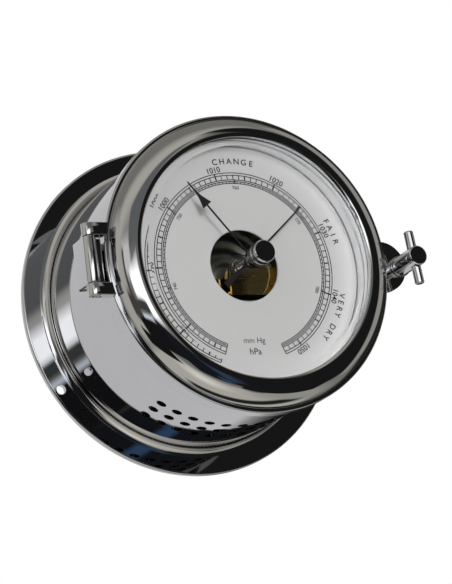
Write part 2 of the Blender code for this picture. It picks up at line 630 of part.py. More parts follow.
def build_seat():
    spigot = CASE_BORE - CLEARANCE
    ledge_inner = SEAT_BORE - DIAL_LEDGE_WIDTH
    groove_inner = GASKET_CIRCLE - GASKET_WIDTH / 2 - CLEARANCE
    groove_outer = GASKET_CIRCLE + GASKET_WIDTH / 2 + CLEARANCE
    groove_floor = SEAT_FRONT - GASKET_THICKNESS - CLEARANCE
    profile = [(ledge_inner, SEAT_BACK - SEAT_SPIGOT_LENGTH), (spigot, SEAT_BACK - SEAT_SPIGOT_LENGTH)]
    profile += [(spigot, SEAT_BACK), (CASE_RADIUS, SEAT_BACK), (CASE_RADIUS, SEAT_FRONT)]
    profile += [(groove_outer, SEAT_FRONT), (groove_outer, groove_floor)]
    profile += [(groove_inner, groove_floor), (groove_inner, SEAT_FRONT)]
    profile += [(SEAT_BORE, SEAT_FRONT), (SEAT_BORE, DIAL_LEDGE), (ledge_inner, DIAL_LEDGE)]
    seat = add_piece("seat_ring", revolve(profile), CHROME)
    screw_places = ring_places(DIAL_SCREW_CIRCLE, DIAL_SCREW_COUNT, 60.0)
    drill(seat, screw_places, DIAL_SCREW_RADIUS + CLEARANCE, SEAT_BACK, DIAL_LEDGE, TINY_SEGMENTS)
    add_piece("case_gasket", revolve(ring_profile(GASKET_CIRCLE - GASKET_WIDTH / 2,
                                                  GASKET_CIRCLE + GASKET_WIDTH / 2,
                                                  SEAT_FRONT - GASKET_THICKNESS, SEAT_FRONT)), RUBBER)

    dial = add_piece("dial_plate", revolve(ring_profile(DIAL_OPENING_RADIUS, DIAL_RADIUS,
                                                        DIAL_BACK, DIAL_FRONT)), SILVERED)
    for number, place in enumerate(screw_places, 1):
        face = DIAL_FRONT - CLEARANCE / 3
        cut(dial, revolve(countersunk_profile(DIAL_SCREW_HEAD_RADIUS, DIAL_SCREW_RADIUS, face,
                                              DIAL_SCREW_LENGTH, CLEARANCE), place, TINY_SEGMENTS))
        add_piece("dial_screw_%d" % number,
                  revolve(countersunk_profile(DIAL_SCREW_HEAD_RADIUS, DIAL_SCREW_RADIUS, face,
                                              DIAL_SCREW_LENGTH), place, TINY_SEGMENTS), STEEL)

    case_cutter = disc_profile(CASE_RADIUS + CLEARANCE, TUBE_BACK, BEZEL_CREST)
    arm_left = HINGE_X - KNUCKLE_RADIUS
    arm_right = arm_left + HINGE_ARM_THICKNESS
    foot_front = HINGE_FOOT_BACK + HINGE_FOOT_THICKNESS
    outline = [(HINGE_X, HINGE_FORWARD + KNUCKLE_RADIUS)]
    for step in range(1, 9):
        turn = math.radians(90.0 + 90.0 * step / 8)
        x = HINGE_X + KNUCKLE_RADIUS * math.cos(turn)
        outline.append((x, HINGE_FORWARD + KNUCKLE_RADIUS * math.sin(turn)))
    outline.append((arm_left, HINGE_FOOT_BACK + HINGE_ARM_CORNER))
    outline.append((arm_left + HINGE_ARM_CORNER, HINGE_FOOT_BACK))
    outline += [(-CASE_RADIUS + BLANK_OVERLAP, HINGE_FOOT_BACK), (-CASE_RADIUS + BLANK_OVERLAP, foot_front)]
    outline += [(arm_right + HINGE_ARM_CORNER, foot_front), (arm_right, foot_front + HINGE_ARM_CORNER)]
    lower = math.asin((HINGE_X - arm_right) / KNUCKLE_RADIUS)
    for step in range(13):
        turn = -math.pi / 2 - lower + (math.pi + lower) * step / 13
        x = HINGE_X + KNUCKLE_RADIUS * math.cos(turn)
        outline.append((x, HINGE_FORWARD + KNUCKLE_RADIUS * math.sin(turn)))
    block = add_piece("hinge_block", extrude_outline(outline, -KNUCKLE_HALF, KNUCKLE_HALF, True), CHROME)
    cut(block, revolve(case_cutter))
    cut(block, rod((HINGE_X, -HINGE_FORWARD, -KNUCKLE_LENGTH), (HINGE_X, -HINGE_FORWARD, KNUCKLE_LENGTH),
                   HINGE_PIN_RADIUS + CLEARANCE))
    pin_half = LUG_HIGH - CLEARANCE
    add_piece("hinge_pin", rod((HINGE_X, -HINGE_FORWARD, -pin_half), (HINGE_X, -HINGE_FORWARD, pin_half),
                               HINGE_PIN_RADIUS), STEEL)

    lug_centre = CLOSURE_X + STUD_HOLE_RADIUS + CLOSURE_LUG_WALL - CLOSURE_LUG_RADIUS
    blank_edge = CASE_RADIUS - BLANK_OVERLAP
    lug_outline = arc(CLOSURE_LUG_RADIUS, 0.0, 180.0, 20, (lug_centre, 0.0))
    lug_outline += [(blank_edge, -CLOSURE_LUG_RADIUS), (blank_edge, CLOSURE_LUG_RADIUS)]
    lug_solid = extrude_outline(lug_outline, CLOSURE_LUG_BACK, CLOSURE_LUG_FRONT)
    lug = add_piece("closure_lug", lug_solid, CHROME)
    cut(lug, revolve(case_cutter))
    drill(lug, [(CLOSURE_X, 0.0)], STUD_HOLE_RADIUS, CLOSURE_LUG_BACK, CLOSURE_LUG_FRONT)


# Bezel with glass, hinge lugs and closure tab

def bezel_outside(grow=0.0):
    """The bezel's outer section from the back edge to the lip, grown for the cuts that fit against it."""
    points = [(BEZEL_RADIUS, BEZEL_RIM_FRONT - BEZEL_RIM_CHAMFER),
              (BEZEL_RADIUS - BEZEL_RIM_CHAMFER, BEZEL_RIM_FRONT)]
    points += ellipse_quarter((BEZEL_CREST_RADIUS, BEZEL_RIM_FRONT),
                              (BEZEL_ROUND_WIDTH, BEZEL_CREST - BEZEL_RIM_FRONT), 0.0, 90.0, BEZEL_ROUND_STEPS)
    points += ellipse_quarter((BEZEL_CREST_RADIUS, LIP_FRONT), (-LIP_WIDTH, LIP_DROP), 90.0, 0.0, LIP_STEPS)[1:]
    grown = [(radius + grow, forward + grow) for radius, forward in points]
    return [(BEZEL_RADIUS + grow, BEZEL_BACK)] + grown


def build_bezel(axis):
    profile = bezel_outside()
    profile += [(LIP_RADIUS, LIP_BACK), (BEZEL_BORE, LIP_BACK), (BEZEL_BORE, BEZEL_BACK)]
    add_piece("bezel_ring", revolve(profile), CHROME, axis)

    glass_profile = [(GLASS_HOLE_RADIUS, GLASS_BACK), (GLASS_RADIUS, GLASS_BACK), (GLASS_RADIUS, GLASS_LAND),
                     (GLASS_LAND_RADIUS, GLASS_LAND), (GLASS_BEVEL_RADIUS, GLASS_FRONT),
                     (GLASS_HOLE_RADIUS, GLASS_FRONT)]
    add_piece("bezel_glass", revolve(glass_profile), GLASS, axis)
    add_piece("glass_gasket", revolve(ring_profile(GLASS_LAND_RADIUS + CLEARANCE, GLASS_RADIUS,
                                                   GLASS_GASKET_BACK, GLASS_GASKET_FRONT)), RUBBER, axis)
    add_piece("retaining_ring", revolve(ring_profile(GLASS_RADIUS - RETAINER_WALL, GLASS_RADIUS,
                                                     RETAINER_BACK, RETAINER_FRONT)), CHROME, axis)

    lug_outline = [(-BEZEL_CREST_RADIUS, HINGE_FORWARD - KNUCKLE_RADIUS),
                   (-BEZEL_CREST_RADIUS, HINGE_FORWARD + KNUCKLE_RADIUS)]
    for step in range(13):
        turn = math.radians(90.0 + 180.0 * step / 12)
        lug_outline.append((HINGE_X + KNUCKLE_RADIUS * math.cos(turn),
                            HINGE_FORWARD + KNUCKLE_RADIUS * math.sin(turn)))
    ring_cutter = bezel_outside(CLEARANCE)
    seat_cutter = [(0.0, ring_cutter[0][1])] + ring_cutter + [(0.0, ring_cutter[-1][1])]
    for name, low, high in (("hinge_lug_upper", LUG_LOW, LUG_HIGH), ("hinge_lug_lower", -LUG_HIGH, -LUG_LOW)):
        lug = add_piece(name, extrude_outline(lug_outline, low, high, True), CHROME, axis)
        cut(lug, revolve(seat_cutter))
        cut(lug, rod((HINGE_X, -HINGE_FORWARD, low - CUT_MARGIN), (HINGE_X, -HINGE_FORWARD, high + CUT_MARGIN),
                     HINGE_PIN_RADIUS + CLEARANCE))

    tab_outline = arc(TAB_RADIUS, 0.0, 180.0, 24, (TAB_CENTRE_X, 0.0))
    tab_outline += [(BEZEL_CREST_RADIUS, -TAB_RADIUS), (BEZEL_CREST_RADIUS, TAB_RADIUS)]
    tab = add_piece("closure_tab", extrude_outline(tab_outline, TAB_BACK, TAB_FRONT), CHROME, axis)
    rim_cutter = disc_profile(BEZEL_RADIUS + CLEARANCE, TAB_BACK - CUT_MARGIN, TAB_FRONT + CUT_MARGIN)
    cut(tab, revolve(rim_cutter))
    drill(tab, [(CLOSURE_X, 0.0)], STUD_RADIUS + CLEARANCE, TAB_BACK, TAB_FRONT)

    bush_profile = [(BUSH_BORE, BUSH_BACK), (BUSH_RADIUS, BUSH_BACK), (BUSH_RADIUS, BUSH_FLANGE_BACK),
                    (BUSH_FLANGE_RADIUS, BUSH_FLANGE_BACK), (BUSH_FLANGE_RADIUS, BUSH_FRONT),
                    (BUSH_BORE, BUSH_FRONT)]
    add_piece("glass_bush", revolve(bush_profile, segments=SMALL_SEGMENTS), CHROME, axis)
    add_piece("bush_nut", revolve(ring_profile(BUSH_RADIUS + CLEARANCE, BUSH_NUT_RADIUS, BUSH_BACK,
                                               BUSH_NUT_FRONT), segments=SMALL_SEGMENTS), CHROME, axis)


# Set knob, spindle and arrow hand

def build_set_hand(axis):
    bore = SPINDLE_RADIUS + CLEARANCE
    blind = SPINDLE_FRONT + CLEARANCE
    profile = [(0.0, blind), (bore, blind), (bore, KNOB_BACK), (KNOB_RADIUS - KNOB_CHAMFER, KNOB_BACK),
               (KNOB_RADIUS, KNOB_BACK + KNOB_CHAMFER), (KNOB_RADIUS, KNOB_FRONT - KNOB_CHAMFER),
               (KNOB_RADIUS - KNOB_CHAMFER, KNOB_FRONT), (0.0, KNOB_FRONT)]
    add_piece("set_knob", revolve(profile, segments=2 * KNOB_RIDGES, ridge_depth=KNOB_RIDGE_DEPTH,
                                  ridge_rows=(4, 5)), CHROME, axis)
    add_piece("set_spindle", revolve(disc_profile(SPINDLE_RADIUS, SET_HUB_BACK, SPINDLE_FRONT),
                                     segments=SMALL_SEGMENTS), STEEL, axis)
    half = SET_HAND_STEM / 2
    wing = SET_HAND_ARROW_WIDTH / 2
    notch = SET_HAND_ARROW_START + SET_HAND_NOTCH
    middle = (SET_HAND_ARROW_START + SET_HAND_ARROW_END) / 2
    side = [(half, 0.0), (half, notch), (wing, SET_HAND_ARROW_START), (wing * 0.42, middle),
            (half * 0.7, SET_HAND_ARROW_END), (half * 0.4, SET_HAND_LENGTH)]
    outline = side + [(-x, along) for x, along in reversed(side)]
    hand = add_piece("set_hand", revolve(disc_profile(SET_HAND_HUB_RADIUS, SET_HUB_BACK, SET_HUB_FRONT),
                                         segments=SMALL_SEGMENTS), BLACK_PAINT, axis)
    blade_back = (SET_HUB_BACK + SET_HUB_FRONT - SET_HAND_THICKNESS) / 2
    outline = turned_outline(outline, SET_HAND_ANGLE)
    join(hand, extrude_outline(outline, blade_back, blade_back + SET_HAND_THICKNESS))
    drill(hand, [(0.0, 0.0)], SPINDLE_RADIUS + CLEARANCE, SET_HUB_BACK, SET_HUB_FRONT)


def turned_outline(outline, angle, centre=(0.0, 0.0)):
    """An (across, along) outline laid along a clock angle."""
    turn = math.radians(angle)
    return [(centre[0] + across * math.cos(turn) + along * math.sin(turn),
             centre[1] - across * math.sin(turn) + along * math.cos(turn)) for across, along in outline]


# T-handle closure

def build_closure(slide_axis, screw_axis):
    centre = (CLOSURE_X, 0.0)
    washer = ring_profile(STUD_RADIUS + CLEARANCE, WASHER_RADIUS, WASHER_BACK, WASHER_FRONT)
    add_piece("closure_washer", revolve(washer, centre, SMALL_SEGMENTS), CHROME, slide_axis)
    profile = [(0.0, STUD_BACK), (STUD_RADIUS, STUD_BACK), (STUD_RADIUS, HANDLE_BACK),
               (HANDLE_RADIUS - HANDLE_CHAMFER, HANDLE_BACK), (HANDLE_RADIUS, HANDLE_BACK + HANDLE_CHAMFER),
               (HANDLE_RADIUS, HANDLE_FRONT - HANDLE_CHAMFER),
               (HANDLE_RADIUS - HANDLE_CHAMFER, HANDLE_FRONT), (0.0, HANDLE_FRONT)]
    handle = add_piece("t_handle", revolve(profile, centre, HANDLE_SEGMENTS), CHROME, screw_axis)
    lean = Vector((math.sin(math.radians(T_BAR_ANGLE)), 0.0, math.cos(math.radians(T_BAR_ANGLE))))
    middle = Vector((CLOSURE_X, -T_BAR_FORWARD, 0.0))
    reach = lean * T_BAR_LENGTH / 2
    cut(handle, rod(middle - reach, middle + reach, T_BAR_RADIUS + CLEARANCE))
    bar = rod(middle - reach, middle + reach, T_BAR_RADIUS)
    ends = [edge for edge in bar.edges if len(edge.link_faces) == 2
            and max(len(face.verts) for face in edge.link_faces) > 4]
    bmesh.ops.bevel(bar, geom=ends, offset=T_BAR_CHAMFER, segments=1, affect="EDGES")
    add_piece("t_bar", bar, CHROME, screw_axis)


# Movement: plates, posts and screws

def build_movement_frame():
    plate = add_piece("movement_plate", revolve(disc_profile(BASE_PLATE_RADIUS, BASE_PLATE_BACK,
                                                             BASE_PLATE_FRONT)), BRASS)
    pillar_places = ring_places(DIAL_PILLAR_CIRCLE, DIAL_PILLAR_COUNT)
    drill(plate, pillar_places, PILLAR_SCREW_RADIUS + CLEARANCE, BASE_PLATE_BACK, BASE_PLATE_FRONT,
          TINY_SEGMENTS)
    drill(plate, [(0.0, ADJUSTER_Z)], ADJUSTER_RADIUS + CLEARANCE, BASE_PLATE_BACK, BASE_PLATE_FRONT)
    screw_tip = DIAL_PILLAR_BACK + PILLAR_SCREW_GRIP
    head_front = BASE_PLATE_BACK - CLEARANCE
    head_back = head_front - PILLAR_SCREW_HEAD
    hole = PILLAR_SCREW_RADIUS + CLEARANCE
    for number, place in enumerate(pillar_places, 1):
        profile = [(0.0, screw_tip + CLEARANCE), (hole, screw_tip + CLEARANCE), (hole, DIAL_PILLAR_BACK),
                   (DIAL_PILLAR_RADIUS, DIAL_PILLAR_BACK), (DIAL_PILLAR_RADIUS, DIAL_PILLAR_FRONT),
                   (0.0, DIAL_PILLAR_FRONT)]
        add_piece("dial_pillar_%d" % number, revolve(profile, place, TINY_SEGMENTS), BRASS)
        screw = [(0.0, head_back), (PILLAR_SCREW_HEAD_RADIUS, head_back),
                 (PILLAR_SCREW_HEAD_RADIUS, head_front), (PILLAR_SCREW_RADIUS, head_front),
                 (PILLAR_SCREW_RADIUS, screw_tip), (0.0, screw_tip)]
        add_piece("pillar_screw_%d" % number, revolve(screw, place, TINY_SEGMENTS), STEEL)

    boss = arc(BRIDGE_BOSS_RADIUS, -90.0, 90.0, 12)
    bar = [(REAR_BRIDGE_HALF_LENGTH, REAR_BRIDGE_TOP), (REAR_BRIDGE_HALF_LENGTH, REAR_BRIDGE_BOTTOM),
           (-REAR_BRIDGE_HALF_LENGTH, REAR_BRIDGE_BOTTOM), (-REAR_BRIDGE_HALF_LENGTH, REAR_BRIDGE_TOP)]
    outline = [(-BRIDGE_BOSS_RADIUS, REAR_BRIDGE_TOP)] + boss
    outline += [(BRIDGE_BOSS_RADIUS, REAR_BRIDGE_TOP)] + bar
    rear = add_piece("rear_bridge", extrude_outline(outline, REAR_BRIDGE_BACK, REAR_BRIDGE_FRONT), BRASS)
    pivots = [(0.0, 0.0), (SECTOR_X, SECTOR_Z)]
    drill(rear, pivots, PIVOT_HOLE_RADIUS, REAR_BRIDGE_BACK, REAR_BRIDGE_FRONT, TINY_SEGMENTS)
    slot_half = 2 * DRIVE_PIN_RADIUS + CLEARANCE
    slot_high = 4 * DRIVE_PIN_RADIUS + CLEARANCE
    slot = rectangle(DRIVE_PIN_X - slot_half, DRIVE_PIN_X + slot_half,
                     ROCKER_Z - slot_high, ROCKER_Z + slot_high)
    cut(rear, extrude_outline(slot, REAR_BRIDGE_BACK - CUT_MARGIN, REAR_BRIDGE_FRONT + CUT_MARGIN))
    for name, x in (("bridge_post_left", -BRIDGE_POST_X), ("bridge_post_right", BRIDGE_POST_X)):
        add_piece(name, revolve(disc_profile(BRIDGE_POST_RADIUS, BRIDGE_POST_BACK, BRIDGE_POST_FRONT),
                                (x, BRIDGE_POST_Z), TINY_SEGMENTS), BRASS)

    rise = math.degrees(math.acos(FRONT_BRIDGE_TOP / BRIDGE_BOSS_RADIUS))
    outline = [(FRONT_BRIDGE_LEFT, FRONT_BRIDGE_BOTTOM), (FRONT_BRIDGE_LEFT, FRONT_BRIDGE_TOP)]
    outline += arc(BRIDGE_BOSS_RADIUS, -rise, rise, 12)
    outline += [(FRONT_BRIDGE_RIGHT, FRONT_BRIDGE_TOP), (FRONT_BRIDGE_RIGHT, FRONT_BRIDGE_BOTTOM)]
    front = add_piece("front_bridge", extrude_outline(outline, FRONT_BRIDGE_BACK, FRONT_BRIDGE_FRONT), BRASS)
    drill(front, pivots, PIVOT_HOLE_RADIUS, FRONT_BRIDGE_BACK, FRONT_BRIDGE_FRONT, TINY_SEGMENTS)
    pillar_places = ((FRONT_BRIDGE_LEFT + SHORT_PILLAR_INSET, FRONT_BRIDGE_BOTTOM + SHORT_PILLAR_INSET),
                     (FRONT_BRIDGE_RIGHT - SHORT_PILLAR_INSET, REAR_BRIDGE_TOP - SHORT_PILLAR_INSET))
    for number, place in enumerate(pillar_places, 1):
        add_piece("front_bridge_pillar_%d" % number,
                  revolve(disc_profile(SHORT_PILLAR_RADIUS, SHORT_PILLAR_BACK, SHORT_PILLAR_FRONT),
                          place, TINY_SEGMENTS), BRASS)

    half = ROCKER_BRACKET_WIDTH / 2
    for name, left in (("rocker_bracket_left", ROCKER_LEFT - CLEARANCE - ROCKER_BRACKET_THICKNESS),
                       ("rocker_bracket_right", ROCKER_RIGHT + CLEARANCE)):
        right = left + ROCKER_BRACKET_THICKNESS
        outline = rectangle(left, right, ROCKER_Z - half, ROCKER_Z + half)
        bracket = add_piece(name, extrude_outline(outline, ROCKER_BRACKET_BACK, ROCKER_BRACKET_FRONT), BRASS)
        hole_start = (left - CUT_MARGIN, -ROCKER_FORWARD, ROCKER_Z)
        hole_end = (right + CUT_MARGIN, -ROCKER_FORWARD, ROCKER_Z)
        cut(bracket, rod(hole_start, hole_end, ROCKER_PIVOT_RADIUS + CLEARANCE, TINY_SEGMENTS))


# Movement: aneroid capsule and its stud

def build_capsule(stud_axis):
    add_piece("capsule_post", revolve(disc_profile(CAPSULE_POST_RADIUS, CAPSULE_POST_BACK,
                                                   CAPSULE_BACK - CLEARANCE), segments=SMALL_SEGMENTS), BRASS)
    well = CAPSULE_STUD_RADIUS + CLEARANCE
    wave_start = CAPSULE_BOSS_RADIUS
    wave_end = CAPSULE_RADIUS - CAPSULE_RIM
    steps = CAPSULE_WAVES * CAPSULE_WAVE_POINTS
    waves = []
    for step in range(steps + 1):
        radius = wave_start + (wave_end - wave_start) * step / steps
        sink = CAPSULE_WAVE_HEIGHT * (1.0 - math.cos(2 * math.pi * step / CAPSULE_WAVE_POINTS)) / 2
        waves.append((radius, sink))
    rim_half = CAPSULE_RIM / 2
    middle = (CAPSULE_BACK + CAPSULE_FRONT) / 2
    front = [(0.0, CAPSULE_WELL), (well, CAPSULE_WELL), (well, CAPSULE_FRONT)]
    front += [(radius, CAPSULE_FRONT - sink) for radius, sink in waves]
    rim = [(CAPSULE_RADIUS, middle + rim_half), (CAPSULE_RADIUS, middle - rim_half)]
    back = [(wave_end, CAPSULE_BACK + CAPSULE_BACK_BEVEL), (wave_end - CAPSULE_BACK_BEVEL, CAPSULE_BACK)]
    back.append((0.0, CAPSULE_BACK))
    add_piece("aneroid_capsule", revolve(front + rim + back, segments=CAPSULE_SEGMENTS), DARK_METAL)
    eye = CAPSULE_STUD_RADIUS
    profile = [(0.0, STUD_FOOT), (CAPSULE_STUD_RADIUS, STUD_FOOT), (CAPSULE_STUD_RADIUS, STUD_FLANGE_BACK),
               (CAPSULE_STUD_FLANGE_RADIUS, STUD_FLANGE_BACK),
               (CAPSULE_STUD_FLANGE_RADIUS, STUD_TOP - CLEARANCE), (eye, STUD_TOP), (0.0, STUD_TOP)]
    add_piece("capsule_stud", revolve(profile, segments=SMALL_SEGMENTS), BRASS, stud_axis)


# Movement: rocker shaft, sector, pinion and pointer

def build_rocker(axis):
    shaft = rod((ROCKER_LEFT, -ROCKER_FORWARD, ROCKER_Z), (ROCKER_RIGHT, -ROCKER_FORWARD, ROCKER_Z),
                ROCKER_RADIUS, TINY_SEGMENTS)
    rocker = add_piece("rocker_shaft", shaft, STEEL, axis)
    reach = ROCKER_BRACKET_THICKNESS + CLEARANCE
    join(rocker, rod((ROCKER_LEFT - reach, -ROCKER_FORWARD, ROCKER_Z),
                     (ROCKER_RIGHT + reach, -ROCKER_FORWARD, ROCKER_Z), ROCKER_PIVOT_RADIUS, TINY_SEGMENTS))
    lever = rectangle(-LEVER_WIDTH / 2, LEVER_WIDTH / 2, ROCKER_Z, CAPSULE_STUD_FLANGE_RADIUS)
    join(rocker, extrude_outline(lever, LEVER_BACK, LEVER_BACK + LEVER_THICKNESS))
    pin_end = -SECTOR_FRONT - CLEARANCE
    join(rocker, rod((DRIVE_PIN_X, -ROCKER_FORWARD, ROCKER_Z), (DRIVE_PIN_X, pin_end, ROCKER_Z),
                     DRIVE_PIN_RADIUS, TINY_SEGMENTS))


def tooth_outline(pitch_radius, wheel_teeth, first_angle, count, centre):
    """Points round a run of gear teeth, the first tooth centred on first_angle."""
    step = 360.0 / wheel_teeth
    tip = pitch_radius + ADDENDUM_SHARE * TOOTH_MODULE
    root = pitch_radius - DEDENDUM_SHARE * TOOTH_MODULE
    points = []
    for index in range(count):
        angle = first_angle + step * index
        for radius, offset in ((root, -TOOTH_ROOT_SHARE), (tip, -TOOTH_TIP_SHARE),
                               (tip, TOOTH_TIP_SHARE), (root, TOOTH_ROOT_SHARE)):
            points.append(clock(radius, angle + offset * step / 2, centre))
    return points


def build_sector(axis):
    centre = (SECTOR_X, SECTOR_Z)
    step = 360.0 / SECTOR_WHEEL_TEETH
    first = TOWARDS_PINION + step / 2 - SECTOR_TEETH_BEFORE * step
    last = first + step * (SECTOR_TEETH - 1)
    outline = tooth_outline(SECTOR_PITCH_RADIUS, SECTOR_WHEEL_TEETH, first, SECTOR_TEETH, centre)
    hub = [clock(SECTOR_HUB_RADIUS, last + 60.0, centre), clock(SECTOR_HUB_RADIUS, first - 60.0, centre)]
    sector = add_piece("sector_gear", extrude_outline(outline + hub, SECTOR_BACK, SECTOR_FRONT), BRASS, axis)
    window_out = SECTOR_PITCH_RADIUS - DEDENDUM_SHARE * TOOTH_MODULE - SECTOR_RIM_WIDTH
    window_in = 3 * SECTOR_HUB_RADIUS
    window = arc(window_out, first + SECTOR_SPOKE_ANGLE, last - SECTOR_SPOKE_ANGLE, 8, centre)
    window += arc(window_in, last - 2 * SECTOR_SPOKE_ANGLE, first + 2 * SECTOR_SPOKE_ANGLE, 4, centre)
    cut(sector, extrude_outline(window, SECTOR_BACK - CUT_MARGIN, SECTOR_FRONT + CUT_MARGIN))
    hub_back = SECTOR_BACK - CLEARANCE
    hub_front = SECTOR_FRONT + CLEARANCE
    join(sector, revolve(disc_profile(SECTOR_HUB_RADIUS, hub_back, hub_front), centre, SMALL_SEGMENTS))
    tail_end = SECTOR_X + SECTOR_TAIL_LENGTH
    half = SECTOR_TAIL_WIDTH / 2
    gap = DRIVE_PIN_RADIUS + FORK_PLAY
    fork = [(SECTOR_X, SECTOR_Z - half), (tail_end, SECTOR_Z - half), (tail_end, SECTOR_Z - gap),
            (SECTOR_X + SECTOR_HUB_RADIUS, SECTOR_Z - gap), (SECTOR_X + SECTOR_HUB_RADIUS, SECTOR_Z + gap),
            (tail_end, SECTOR_Z + gap), (tail_end, SECTOR_Z + half), (SECTOR_X, SECTOR_Z + half)]
    join(sector, extrude_outline(fork, SECTOR_BACK, SECTOR_FRONT))
    join(sector, rod((SECTOR_X, -REAR_BRIDGE_BACK, SECTOR_Z), (SECTOR_X, -FRONT_BRIDGE_FRONT, SECTOR_Z),
                     ARBOR_RADIUS, TINY_SEGMENTS))


def build_pointer(axis):
    teeth = tooth_outline(PINION_PITCH_RADIUS, PINION_TEETH, TOWARDS_SECTOR, PINION_TEETH, (0.0, 0.0))
    arbor = add_piece("pointer_arbor", extrude_outline(teeth, PINION_BACK, PINION_FRONT), STEEL, axis)
    join(arbor, rod((0.0, -REAR_BRIDGE_BACK, 0.0), (0.0, -POINTER_HUB_FRONT, 0.0),
                    ARBOR_RADIUS, TINY_SEGMENTS))
    collet_back = HAIRSPRING_FORWARD - 2 * HAIRSPRING_WIRE_RADIUS
    collet_front = HAIRSPRING_FORWARD + 2 * HAIRSPRING_WIRE_RADIUS
    join(arbor, revolve(disc_profile(COLLET_RADIUS, collet_back, collet_front), segments=SMALL_SEGMENTS))

    hub = disc_profile(POINTER_HUB_RADIUS, POINTER_HUB_BACK, POINTER_HUB_FRONT)
    pointer = add_piece("pointer", revolve(hub, segments=SMALL_SEGMENTS), BLACK_PAINT, axis)
    half = POINTER_WIDTH / 2
    tip = POINTER_TIP_WIDTH / 2
    outline = [(half, -POINTER_TAIL), (half, 0.0), (tip, POINTER_LENGTH),
               (-tip, POINTER_LENGTH), (-half, 0.0), (-half, -POINTER_TAIL)]
    outline = turned_outline(outline, POINTER_ANGLE)
    blade_back = (POINTER_HUB_BACK + POINTER_HUB_FRONT - POINTER_THICKNESS) / 2
    join(pointer, extrude_outline(outline, blade_back, blade_back + POINTER_THICKNESS))
    drill(pointer, [(0.0, 0.0)], PIVOT_HOLE_RADIUS, POINTER_HUB_BACK, POINTER_HUB_FRONT, TINY_SEGMENTS)


def build_hairspring():
    count = HAIRSPRING_TURNS * POINTS_PER_TURN
    points = []
    for index in range(count + 1):
        share = index / count
        angle = HAIRSPRING_END_ANGLE - 360.0 * HAIRSPRING_TURNS * (1.0 - share)
        x, z = clock(HAIRSPRING_START + (HAIRSPRING_END - HAIRSPRING_START) * share, angle)
        points.append(Vector((x, -HAIRSPRING_FORWARD, z)))
    least = min((points[i] - points[j]).length for i in range(count + 1)
                for j in range(i + POINTS_PER_TURN // 2, count + 1))
    print("hairspring least gap to itself: %.2f mm" % (1000 * (least - 2 * HAIRSPRING_WIRE_RADIUS)))
    curve = bpy.data.curves.new("hairspring", "CURVE")
    curve.dimensions = "3D"
    curve.bevel_depth = HAIRSPRING_WIRE_RADIUS
    curve.bevel_resolution = 1
    curve.use_fill_caps = True
    spline = curve.splines.new("POLY")
    spline.points.add(count)
    for point, place in zip(spline.points, points):
        point.co = (*place, 1.0)
    spring = bpy.data.objects.new("hairspring", curve)
    curve.materials.append(finish_material("hairspring", STEEL))
    bpy.context.scene.collection.objects.link(spring)
    place = clock(HAIRSPRING_STUD_CIRCLE, HAIRSPRING_END_ANGLE)
    stud_front = HAIRSPRING_FORWARD + 2 * HAIRSPRING_WIRE_RADIUS
    add_piece("hairspring_stud", revolve(disc_profile(HAIRSPRING_STUD_RADIUS, FRONT_BRIDGE_FRONT + CLEARANCE,
                                                      stud_front), place, TINY_SEGMENTS), BRASS)


def build_adjuster(axis):
    place = (0.0, ADJUSTER_Z)
    head_front = BASE_PLATE_BACK - CLEARANCE
    head_back = head_front - ADJUSTER_HEAD_LENGTH
    tip = BASE_PLATE_FRONT + CLEARANCE
    profile = [(0.0, head_back), (ADJUSTER_HEAD_RADIUS, head_back), (ADJUSTER_HEAD_RADIUS, head_front),
               (ADJUSTER_RADIUS, head_front), (ADJUSTER_RADIUS, tip), (0.0, tip)]
    screw = add_piece("adjusting_screw", revolve(profile, place, SMALL_SEGMENTS), BRASS, axis)
    half = ADJUSTER_SLOT_WIDTH / 2
    wide = ADJUSTER_HEAD_RADIUS + CUT_MARGIN
    slot = rectangle(-wide, wide, ADJUSTER_Z - half, ADJUSTER_Z + half)
    cut(screw, extrude_outline(slot, head_back - CUT_MARGIN, head_back + ADJUSTER_SLOT_DEPTH))


def build():
    clear_scene()
    hinge_axis = add_axis("bezel_hinge_axis", (HINGE_X, -HINGE_FORWARD, 0.0))
    set_axis = add_axis("set_hand_axis", (0.0, -GLASS_FRONT, 0.0))
    slide_axis = add_axis("closure_slide_axis", (CLOSURE_X, -TAB_FRONT, 0.0))
    screw_axis = add_axis("closure_screw_axis", (CLOSURE_X, -HANDLE_BACK, 0.0))
    pointer_axis = add_axis("pointer_axis", (0.0, -PINION_FRONT, 0.0))
    sector_axis = add_axis("sector_axis", (SECTOR_X, -SECTOR_MIDDLE, SECTOR_Z))
    rocker_axis = add_axis("rocker_axis", (0.0, -ROCKER_FORWARD, ROCKER_Z))
    stud_axis = add_axis("capsule_stud_axis", (0.0, -CAPSULE_FRONT, 0.0))
    adjuster_axis = add_axis("adjuster_axis", (0.0, -BASE_PLATE_BACK, ADJUSTER_Z))
    build_case()
    build_seat()
    build_bezel(hinge_axis)
    build_set_hand(set_axis)
    build_closure(slide_axis, screw_axis)
    build_movement_frame()
    build_capsule(stud_axis)
    build_rocker(rocker_axis)
    build_sector(sector_axis)
    build_pointer(pointer_axis)
    build_hairspring()
    build_adjuster(adjuster_axis)


build()
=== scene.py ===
import json
import math

import bmesh
import bpy
from mathutils import Matrix, Vector


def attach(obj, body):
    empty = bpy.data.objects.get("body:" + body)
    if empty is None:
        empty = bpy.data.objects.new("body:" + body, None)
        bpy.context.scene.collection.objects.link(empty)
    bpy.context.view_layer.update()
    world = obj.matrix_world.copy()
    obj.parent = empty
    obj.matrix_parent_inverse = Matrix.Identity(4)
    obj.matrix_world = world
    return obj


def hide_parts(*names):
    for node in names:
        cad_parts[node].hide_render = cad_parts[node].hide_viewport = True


# Looks for a ship barometer: turned metal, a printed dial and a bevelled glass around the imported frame.
# Lengths are in millimetres, and angles in degrees clockwise from 12 o'clock.
# A turned section is a loop of (radius, forward) points. Forward runs from the bulkhead to the reader.

